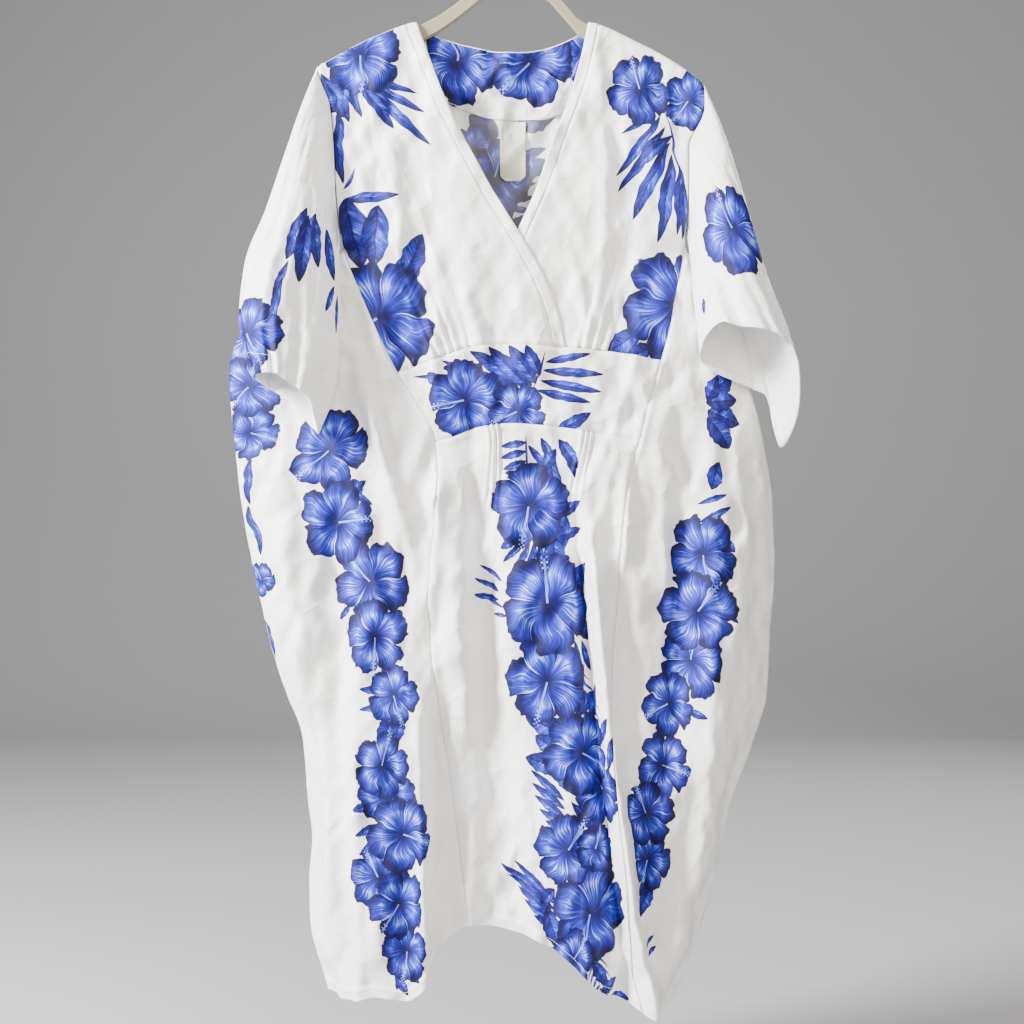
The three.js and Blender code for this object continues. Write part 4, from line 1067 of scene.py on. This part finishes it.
# The skirt's centre front: it is gathered into the band in two clusters and falls to the curved hem,
# with the broad column of the print down its middle.
FRONT_HEM = [
    (-222, 1270), (-190, 1273), (-148, 1266), (-120, 1271), (-95, 1254), (-81, 1218), (-49, 1192),
    (-14, 1195), (38, 1210), (66, 1230), (100, 1264), (118, 1274), (168, 1290), (190, 1282),
]
SKIRT_RUNS = [(0.255, 0.23, 0), (0.33, 0.36, 3), (0.705, 0.66, 0), (0.78, 0.79, 3), (1, 1, 0)]
SKIRT_PRINT = [
    ("leaf", 16, 633, 17, 678, 1.8), ("leaf", 17, 642, -14, 647, 5.6), ("leaf", 17, 652, -14, 660, 5.6),
    ("leaf", 17, 663, -11, 673, 5.6), ("leaf", 17, 673, -7, 683, 4.5), ("leaf", 18, 645, 42, 674, 5.6),
    ("leaf", 32, 636, 51, 672, 6.8), ("leaf", 38, 651, 45, 699, 10.2), ("leaf", 52, 638, 77, 672, 9),
    ("leaf", 9, 697, -15, 726, 10.2), ("leaf", 2, 730, -14, 749, 6.8), ("leaf", 15, 753, -10, 778, 5.6),
    ("leaf", 20, 755, 0, 796, 5.6), ("leaf", 26, 753, 17, 800, 5.6), ("leaf", 31, 753, 32, 800, 5.6),
    ("leaf", 61, 640, 73, 683, 7.9), ("leaf", 42, 654, 54, 730, 11.3), ("leaf", 56, 708, 52, 782, 13.6),
    ("leaf", 50, 726, 79, 708, 7.9), ("leaf", 50, 751, 80, 739, 7.9), ("leaf", 5, 753, -16, 762, 6.8),
    ("leaf", 38, 759, 45, 798, 6.8), ("leaf", 14, 730, -14, 739, 10.2), ("flower", 19, 714, 51, 1),
    ("leaf", 36, 674, 50, 649, 7.9), ("leaf", 45, 735, 50, 789, 15.8), ("leaf", -5, 800, -36, 781, 4),
    ("leaf", -5, 812, -46, 796, 4.5), ("leaf", -5, 821, -51, 815, 4.5), ("leaf", -5, 830, -36, 817, 3.4),
    ("leaf", -2, 839, -25, 837, 3.4), ("leaf", 61, 816, 88, 778, 15.8), ("leaf", 66, 834, 90, 866, 13.6),
    ("leaf", 54, 776, 50, 810, 13.6), ("flower", 40, 825, 60, 1), ("leaf", -5, 846, 37, 877, 4.5),
    ("leaf", 2, 859, 50, 902, 5.6), ("leaf", 14, 873, 61, 923, 5.6), ("leaf", 68, 866, 84, 916, 7.9),
    ("leaf", 75, 866, 90, 902, 6.8), ("frond", 50, 859, 104, 990, 29.4), ("leaf", 32, 866, 50, 893, 11.3),
    ("flower", 40, 912, 52, 1), ("leaf", 66, 934, 88, 893, 10.2), ("leaf", 68, 952, 99, 923, 9),
    ("leaf", 50, 952, 27, 927, 10.2), ("leaf", 84, 965, 102, 913, 7.9), ("leaf", 93, 984, 113, 952, 9),
    ("leaf", 63, 974, 14, 952, 15.8), ("leaf", 56, 1011, 14, 999, 14.7), ("leaf", 54, 993, 25, 974, 12.4),
    ("leaf", 106, 1013, 113, 973, 9), ("flower", 79, 993, 49, 1), ("leaf", 99, 1002, 111, 1054, 13.6),
    ("flower", 102, 1036, 41, 1), ("leaf", 68, 1036, 50, 1008, 11.3), ("leaf", 61, 1047, 20, 1013, 6.2),
    ("leaf", 61, 1056, 21, 1028, 6.2), ("leaf", 61, 1065, 24, 1042, 6.2),
    ("leaf", 62, 1073, 28, 1057, 5.6), ("leaf", 63, 1080, 36, 1069, 5.1),
    ("leaf", 66, 1047, 97, 1085, 6.8), ("leaf", 70, 1042, 104, 1076, 6.8),
    ("leaf", 75, 1047, 111, 1094, 7.9), ("leaf", 88, 1069, 113, 1126, 9), ("leaf", 41, 1099, 32, 1074, 9),
    ("flower", 63, 1102, 43, 1), ("leaf", 88, 1087, 104, 1117, 11.3), ("flower", 94, 1101, 28, 1),
    ("leaf", 61, 1133, 88, 1155, 11.3), ("leaf", 99, 1126, 115, 1160, 9),
    ("leaf", 54, 1164, -17, 1121, 6.8), ("leaf", 55, 1172, -9, 1133, 6.2),
    ("leaf", 56, 1180, 0, 1146, 6.2), ("leaf", 56, 1187, 9, 1160, 5.6), ("leaf", 54, 1194, 23, 1176, 5.6),
    ("leaf", 50, 1160, 0, 1117, 5.1), ("leaf", 50, 1146, 32, 1164, 10.2), ("flower", 88, 1173, 59, 1),
    ("leaf", 37, 1169, 56, 1216, 14.7), ("leaf", 54, 1194, 72, 1243, 13.6), ("flower", 70, 1225, 36, 1),
    ("leaf", 88, 1228, 111, 1257, 10.2), ("leaf", 54, 1209, 81, 1255, 10.2),
    ("frond", 86, 1188, 104, 1273, 20.3), ("leaf", 97, 1264, 127, 1252, 10.2),
    ("leaf", 106, 1273, 140, 1276, 6.8),
]


def front_hem(x):
    return read(FRONT_HEM, x)


_, skirt_outer, skirt_inner = finish_cloth(
    "front_skirt",
    panel("front", BAND_BOTTOM_DROP, HEM, princess_left, princess_right,
          panel_columns(72, runs=SKIRT_RUNS), 40, top=(band_bottom, BAND_SETTLE),
          bottom=(front_hem, HEM_SETTLE), gathered="top", step=3.6, dips="lrt", is_hemmed=True),
    SKIRT_PRINT,
    area=0.152,
    flat_size=(0.341, 0.667),
)
sew(skirt_outer, skirt_inner, row=-6)

# The side panels: long pieces from the princess seams to the side seams, printed with a garland each.
# They hang slack, so most of the large folds run through them.
SEAM_GAP = 0.2
RIGHT_SIDE_PRINT = [
    ("leaf", -182, 683, -173, 708, 10.2), ("flower", -207, 651, 49, 1), ("leaf", -200, 699, -182, 678, 8),
    ("leaf", -184, 701, -166, 685, 6.8), ("flower", -198, 733, 50, 0.95),
    ("leaf", -182, 762, -159, 767, 10.2), ("flower", -160, 800, 49, 1.05),
    ("leaf", -184, 826, -196, 844, 4.5), ("flower", -155, 862, 45, 0.9),
    ("leaf", -146, 890, -132, 912, 10.2), ("flower", -134, 928, 36, 0.85),
    ("leaf", -132, 949, -150, 985, 13.6), ("leaf", -127, 953, -130, 981, 10.2),
    ("flower", -146, 1006, 39, 0.85), ("leaf", -159, 983, -171, 1003, 9.1),
    ("leaf", -146, 1035, -130, 1056, 10.2), ("leaf", -136, 1037, -123, 1053, 11.4),
    ("flower", -141, 1040, 33, 1.1), ("flower", -123, 1083, 45, 0.95),
    ("leaf", -146, 1106, -136, 1131, 12.5), ("flower", -150, 1131, 36, 1.1),
    ("flower", -127, 1162, 40, 1), ("leaf", -143, 1192, -123, 1192, 9.1),
    ("flower", -118, 1215, 35, 0.95), ("leaf", -132, 1240, -116, 1265, 6.8),
    ("leaf", -190, 694, -157, 713, 5.7), ("leaf", -186, 708, -166, 726, 4.5),
    ("leaf", -186, 683, -182, 696, 4.5), ("leaf", -144, 924, -173, 921, 5.7),
    ("leaf", -143, 940, -173, 944, 4.5), ("leaf", -155, 1049, -182, 1056, 6.8),
    ("leaf", -150, 1072, -177, 1085, 5.7), ("leaf", -146, 1087, -171, 1103, 5.7),
    ("leaf", -127, 1236, -100, 1249, 6.8), ("leaf", -123, 1231, -130, 1259, 5.7),
    ("flower", -300, 520, 39, 1.2), ("flower", -302, 577, 36, 1.2), ("flower", -301, 630, 32, 1.2),
    ("leaf", -302, 657, -305, 713, 8), ("leaf", -298, 713, -289, 771, 8), ("flower", -289, 799, 21, 1),
    ("leaf", -284, 839, -273, 890, 5.7),
]
LEFT_SIDE_PRINT = [
    ("leaf", 221, 585, 257, 564, 13.7), ("leaf", 221, 596, 262, 592, 14.8),
    ("leaf", 221, 605, 262, 621, 15.9), ("leaf", 222, 612, 253, 649, 14.8),
    ("leaf", 221, 594, 239, 566, 10.3), ("leaf", 241, 664, 221, 696, 10.3),
    ("leaf", 244, 701, 210, 712, 4.6), ("leaf", 248, 715, 214, 733, 5.7),
    ("leaf", 239, 751, 253, 767, 6.8), ("flower", 216, 769, 48, 0.95), ("leaf", 230, 799, 221, 815, 9.1),
    ("flower", 210, 834, 48, 1.05), ("leaf", 228, 826, 253, 838, 5.7), ("flower", 203, 889, 45, 0.95),
    ("leaf", 187, 915, 178, 929, 10.3), ("flower", 177, 938, 39, 0.85), ("leaf", 196, 945, 221, 954, 5.7),
    ("leaf", 169, 967, 159, 990, 10.3), ("flower", 170, 1008, 39, 0.9),
    ("leaf", 146, 1038, 155, 1049, 11.4), ("flower", 152, 1063, 39, 0.9),
    ("leaf", 137, 1088, 148, 1100, 9.1), ("flower", 154, 1116, 36, 0.85),
    ("leaf", 146, 1141, 153, 1159, 11.4), ("leaf", 157, 1141, 146, 1180, 11.4),
    ("leaf", 231, 817, 255, 828, 4.6), ("leaf", 232, 828, 257, 847, 4.6),
    ("leaf", 163, 1203, 146, 1218, 3.4), ("leaf", 164, 1215, 152, 1226, 3.4),
]
_, panel_outer, panel_inner = finish_cloth(
    "side_panel_r",
    panel("front", UNDERARM, HEM, left_side, lambda drop: princess_left(drop) - SEAM_GAP,
          panel_columns(64, "left"), -150, bottom=(front_hem, HEM_SETTLE), step=3.8, dips="lr",
          is_hemmed=True),
    RIGHT_SIDE_PRINT,
    area=0.191,
    flat_size=(0.368, 0.857),
)
sew(panel_outer, panel_inner, row=-6)
_, panel_outer, panel_inner = finish_cloth(
    "side_panel_l",
    panel("front", UNDERARM, HEM, lambda drop: princess_right(drop) + SEAM_GAP, right_side,
          panel_columns(64, "right"), 170, bottom=(front_hem, HEM_SETTLE), step=3.8, dips="lr",
          is_hemmed=True),
    LEFT_SIDE_PRINT,
    area=0.148,
    flat_size=(0.247, 0.876),
)
sew(panel_outer, panel_inner, row=-6)

# The sleeves: short wide bells, each one piece of cloth sewn to a tube and set in the armhole. They hang
# forward over the side panels, and their hems stand open.
SLEEVE_R = [
    (0, -225, 208, -198, 417, 0, 24), (0.15, -240, 248, -197, 420, -18, 27),
    (0.3, -257, 305, -195, 454, -32, 31), (0.5, -279, 378, -194, 508, -46, 34),
    (0.7, -301, 444, -194, 550, -60, 36), (0.85, -306, 505, -199, 588, -68, 37),
    (1, -288, 573, -216, 634, -74, 38),
]
SLEEVE_L = [
    (0, 222, 227, 203, 417, 0, 24), (0.15, 240, 272, 203, 421, -14, 28),
    (0.3, 255, 324, 205, 452, -26, 33), (0.5, 271, 389, 207, 484, -38, 38),
    (0.7, 291, 471, 209, 510, -50, 43), (0.85, 311, 535, 210, 530, -56, 46),
    (1, 324, 596, 211, 548, -62, 48),
]
SLEEVE_HEM_R = [
    (0, 0), (45, 14), (90, 31), (135, 33), (160, 12), (180, 0), (225, 0), (270, 7), (315, 2), (360, 0),
]
SLEEVE_HEM_L = [
    (0, 0), (24, 40), (45, 54), (67, 58), (105, 50), (127, 47), (153, 28), (180, 6), (235, -6), (293, -4),
    (315, -58), (336, -34), (360, 0),
]
SLEEVE_FOLDS = [
    (62, 15, 5, 0.2), (105, 17, -5, 0.35), (250, 22, 5, 0.3), (84, 8, 3, 0.1), (140, 14, -3, 0.25),
    (34, 6, 3, 0.62), (72, 5, -3.4, 0.66), (96, 6, 3.6, 0.6), (122, 6, 3.4, 0.64), (158, 8, -3, 0.6),
    (205, 9, 3, 0.6), (285, 9, -3, 0.55), (318, 8, 3, 0.6), (48, 7, -3, 0.3), (130, 5, -2, 0.1),
]
SLEEVE_CLEARANCE = 5
SLEEVE_COLUMNS = 168
SLEEVE_BLEND = 0.24
SLEEVE_WAVES = 9
SLEEVE_HEM = {"from": 0.958, "thick": 0.9}
SLEEVE_R_PRINT = [
    ("leaf", -240, 408, -229, 379, 9), ("leaf", -233, 412, -217, 385, 10.1),
    ("leaf", -233, 383, -251, 441, 16.8), ("leaf", -231, 387, -235, 466, 19),
    ("leaf", -229, 387, -211, 448, 16.8), ("leaf", -217, 401, -195, 461, 15.7),
    ("leaf", -249, 441, -264, 484, 6.7), ("leaf", -255, 461, -269, 533, 7.8),
    ("leaf", -192, 466, -217, 497, 6.7), ("leaf", -192, 475, -203, 522, 5.6),
    ("flower", -294, 523, 41, 1.4), ("flower", -298, 579, 33, 1.4),
]
SLEEVE_L_PRINT = [
    ("flower", 246, 405, 55, 1.2), ("leaf", 211, 481, 218, 500, 5.6),
]


def sleeve_cloth(name, side, table, hem, motifs, area, flat_size):
    """A tube from the armhole's oval to the open hem, kept clear of the body where it hangs beside it."""
    edge = left_side if side < 0 else right_side
    arm_top = float(shoulder(edge(np.float64(SHOULDER_TIP))))
    arm_low = table[0][4]
    turns = np.linspace(0, 360, SLEEVE_COLUMNS, endpoint=False)
    rings = np.concatenate(
        [np.linspace(0, 0.06, 5)[:-1], np.linspace(0.06, 0.955, 84), [0.962, 0.975, 0.99, 1]])
    along, turn = np.meshgrid(rings, turns, indexing="ij")
    angle = np.radians(turn)
    share = (1 - np.cos(angle)) / 2
    hole_drop = arm_top + (arm_low - arm_top) * share
    hole_x = edge(hole_drop)
    away = np.where((share < 1e-6) | (share > 1 - 1e-6), 0, 1)
    front_depth = plain_depth("front", hole_x, hole_drop) * away
    back_depth = plain_depth("back", hole_x, hole_drop) * away
    hole_y = np.where(turn <= 180, -front_depth, back_depth)
    hole = np.stack([hole_x + side * 0.6, hole_y, -hole_drop], axis=-1)
    x = read(table, along, 1) * (1 - share) + read(table, along, 3) * share
    drop = read(table, along, 2) * (1 - share) + read(table, along, 4) * share
    drop = drop - read(hem, turn) * along**3
    fold = 0
    for place, width, height, begins in SLEEVE_FOLDS:
        fold = fold + height * np.exp(-(((turn - place) / width) ** 2)) * smooth((along - begins) / 0.4)
    chance = np.random.default_rng(3 if side < 0 else 4)
    for wave in range(SLEEVE_WAVES):
        phase = chance.random() * FULL_TURN
        crest = np.sin(np.radians(turn) * (wave + 3) + along * chance.normal(0, 9) + phase)
        fold = fold + (1 - np.abs(crest)) * 1.1 * np.sin(along * 5 + phase * 2) * smooth(along / 0.2)
    y = read(table, along, 5) - np.sin(angle) * (read(table, along, 6) + fold)
    tube = np.stack([x, y, -drop], axis=-1)
    blend = smooth(along / SLEEVE_BLEND)[..., None]
    points = hole * (1 - blend) + tube * blend
    low = -points[..., 2] + 2 * SLEEVE_CLEARANCE
    near = points[..., 0] - side * SLEEVE_CLEARANCE
    beyond = left_side(low) - near if side < 0 else near - right_side(low)
    body = plain_depth("front", near, low) + np.maximum(folds("front", near, low), 0)
    limit = np.where(beyond > 0, beyond * 0.9 - SLEEVE_CLEARANCE, -body - SLEEVE_CLEARANCE)
    is_high = -points[..., 2] < UNDERARM - 20
    points[..., 1] = np.where(is_high, points[..., 1], np.minimum(points[..., 1], limit))
    around = np.roll(points, -1, axis=1) - np.roll(points, 1, axis=1)
    down = np.gradient(points, axis=0)
    normal = np.cross(around, down)
    normal /= np.linalg.norm(normal, axis=-1, keepdims=True) + 1e-9
    thick = CLOTH + SLEEVE_HEM["thick"] * (along > SLEEVE_HEM["from"])
    inner = points - side * normal * thick[..., None]
    steps = np.linalg.norm(np.diff(points, axis=1, append=points[:, :1]), axis=-1)
    across = np.cumsum(steps, axis=1) - steps
    middle = np.argmin(np.abs(turns - 90))
    lay = np.stack([points[:, [middle], 0] - side * (across - across[:, [middle]]), -points[..., 2]], axis=-1)
    finish_cloth(name, (points, inner, lay), motifs, area, flat_size, is_front=(turn > 4) & (turn < 172),
                 is_tube=True, is_reversed=side < 0)
    sew(points, inner, row=-6)


sleeve_cloth("sleeve_r", -1, SLEEVE_R, SLEEVE_HEM_R, SLEEVE_R_PRINT, 0.084, (0.501, 0.392))
sleeve_cloth("sleeve_l", 1, SLEEVE_L, SLEEVE_HEM_L, SLEEVE_L_PRINT, 0.069, (0.457, 0.413))

# The stitches: rows of white thread along the hems, the neck bands, the facing and the label, a stitch
# to every 3.2 mm. They are laid along the sewn lines that were marked on each piece.
STITCH_SPACING = 0.0032


def stitch_rows():
    tree = bpy.data.node_groups.new("stitch_rows", "GeometryNodeTree")
    tree.interface.new_socket("Lines", in_out="INPUT", socket_type="NodeSocketGeometry")
    named = {}
    sizes = (("Spacing", STITCH_SPACING), ("Stitch Length", 0.0024), ("Thread Radius", 0.00022))
    for name, value in sizes:
        socket = tree.interface.new_socket(name, in_out="INPUT", socket_type="NodeSocketFloat")
        socket.default_value = value
        named[name] = socket.identifier
    tree.interface.new_socket("Stitches", in_out="OUTPUT", socket_type="NodeSocketGeometry")
    start = tree.nodes.new("NodeGroupInput")
    curves = wire(tree, "GeometryNodeMeshToCurve", start.outputs["Lines"])
    spaced = tree.nodes.new("GeometryNodeResampleCurve")
    spaced.mode = "LENGTH"
    tree.links.new(curves.outputs[0], spaced.inputs["Curve"])
    tree.links.new(start.outputs["Spacing"], spaced.inputs["Length"])
    thread = tree.nodes.new("GeometryNodeMeshCylinder")
    thread.inputs["Vertices"].default_value = 5
    tree.links.new(start.outputs["Thread Radius"], thread.inputs["Radius"])
    tree.links.new(start.outputs["Stitch Length"], thread.inputs["Depth"])
    along = tree.nodes.new("GeometryNodeInputTangent")
    turned = tree.nodes.new("FunctionNodeAlignRotationToVector")
    turned.axis = "Z"
    tree.links.new(along.outputs[0], turned.inputs["Vector"])
    placed = tree.nodes.new("GeometryNodeInstanceOnPoints")
    tree.links.new(spaced.outputs[0], placed.inputs["Points"])
    tree.links.new(thread.outputs["Mesh"], placed.inputs["Instance"])
    tree.links.new(turned.outputs[0], placed.inputs["Rotation"])
    real = wire(tree, "GeometryNodeRealizeInstances", placed.outputs[0])
    dressed = tree.nodes.new("GeometryNodeSetMaterial")
    tree.links.new(real.outputs[0], dressed.inputs["Geometry"])
    dressed.inputs["Material"].default_value = thread_finish()
    end = tree.nodes.new("NodeGroupOutput")
    tree.links.new(dressed.outputs[0], end.inputs[0])
    return tree, named


def thread_finish():
    material, tree, shader = new_finish("sewing_thread")
    place = tree.nodes.new("ShaderNodeTexCoord").outputs["Object"]
    twist = colours(tree, noise(tree, place, 900), [(0, (0.74, 0.74, 0.74)), (1, (0.93, 0.93, 0.94))])
    tree.links.new(twist, shader.inputs["Base Color"])
    shader.inputs["Roughness"].default_value = 0.45
    return material


line_points = np.concatenate(sewn_rows) * 0.001
line_edges, first_point = [], 0
for line in sewn_rows:
    line_edges += [(first_point + k, first_point + k + 1) for k in range(len(line) - 1)]
    first_point += len(line)
line_mesh = bpy.data.meshes.new("sewn_lines")
line_mesh.from_pydata(line_points.tolist(), line_edges, [])
stitch_guide = bpy.data.objects.new("stitch_guide", line_mesh)
bpy.context.scene.collection.objects.link(stitch_guide)
rows_tree, row_inputs = stitch_rows()
laid = stitch_guide.modifiers.new("stitches", "NODES")
laid.node_group = rows_tree
laid[row_inputs["Spacing"]] = STITCH_SPACING
ready = stitch_guide.evaluated_get(bpy.context.evaluated_depsgraph_get())
stitches = bpy.data.objects.new("stitches", bpy.data.meshes.new_from_object(ready))
stitch_guide.modifiers.remove(laid)
bpy.data.objects.remove(stitch_guide)
bpy.context.scene.collection.objects.link(stitches)
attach(stitches, "root")
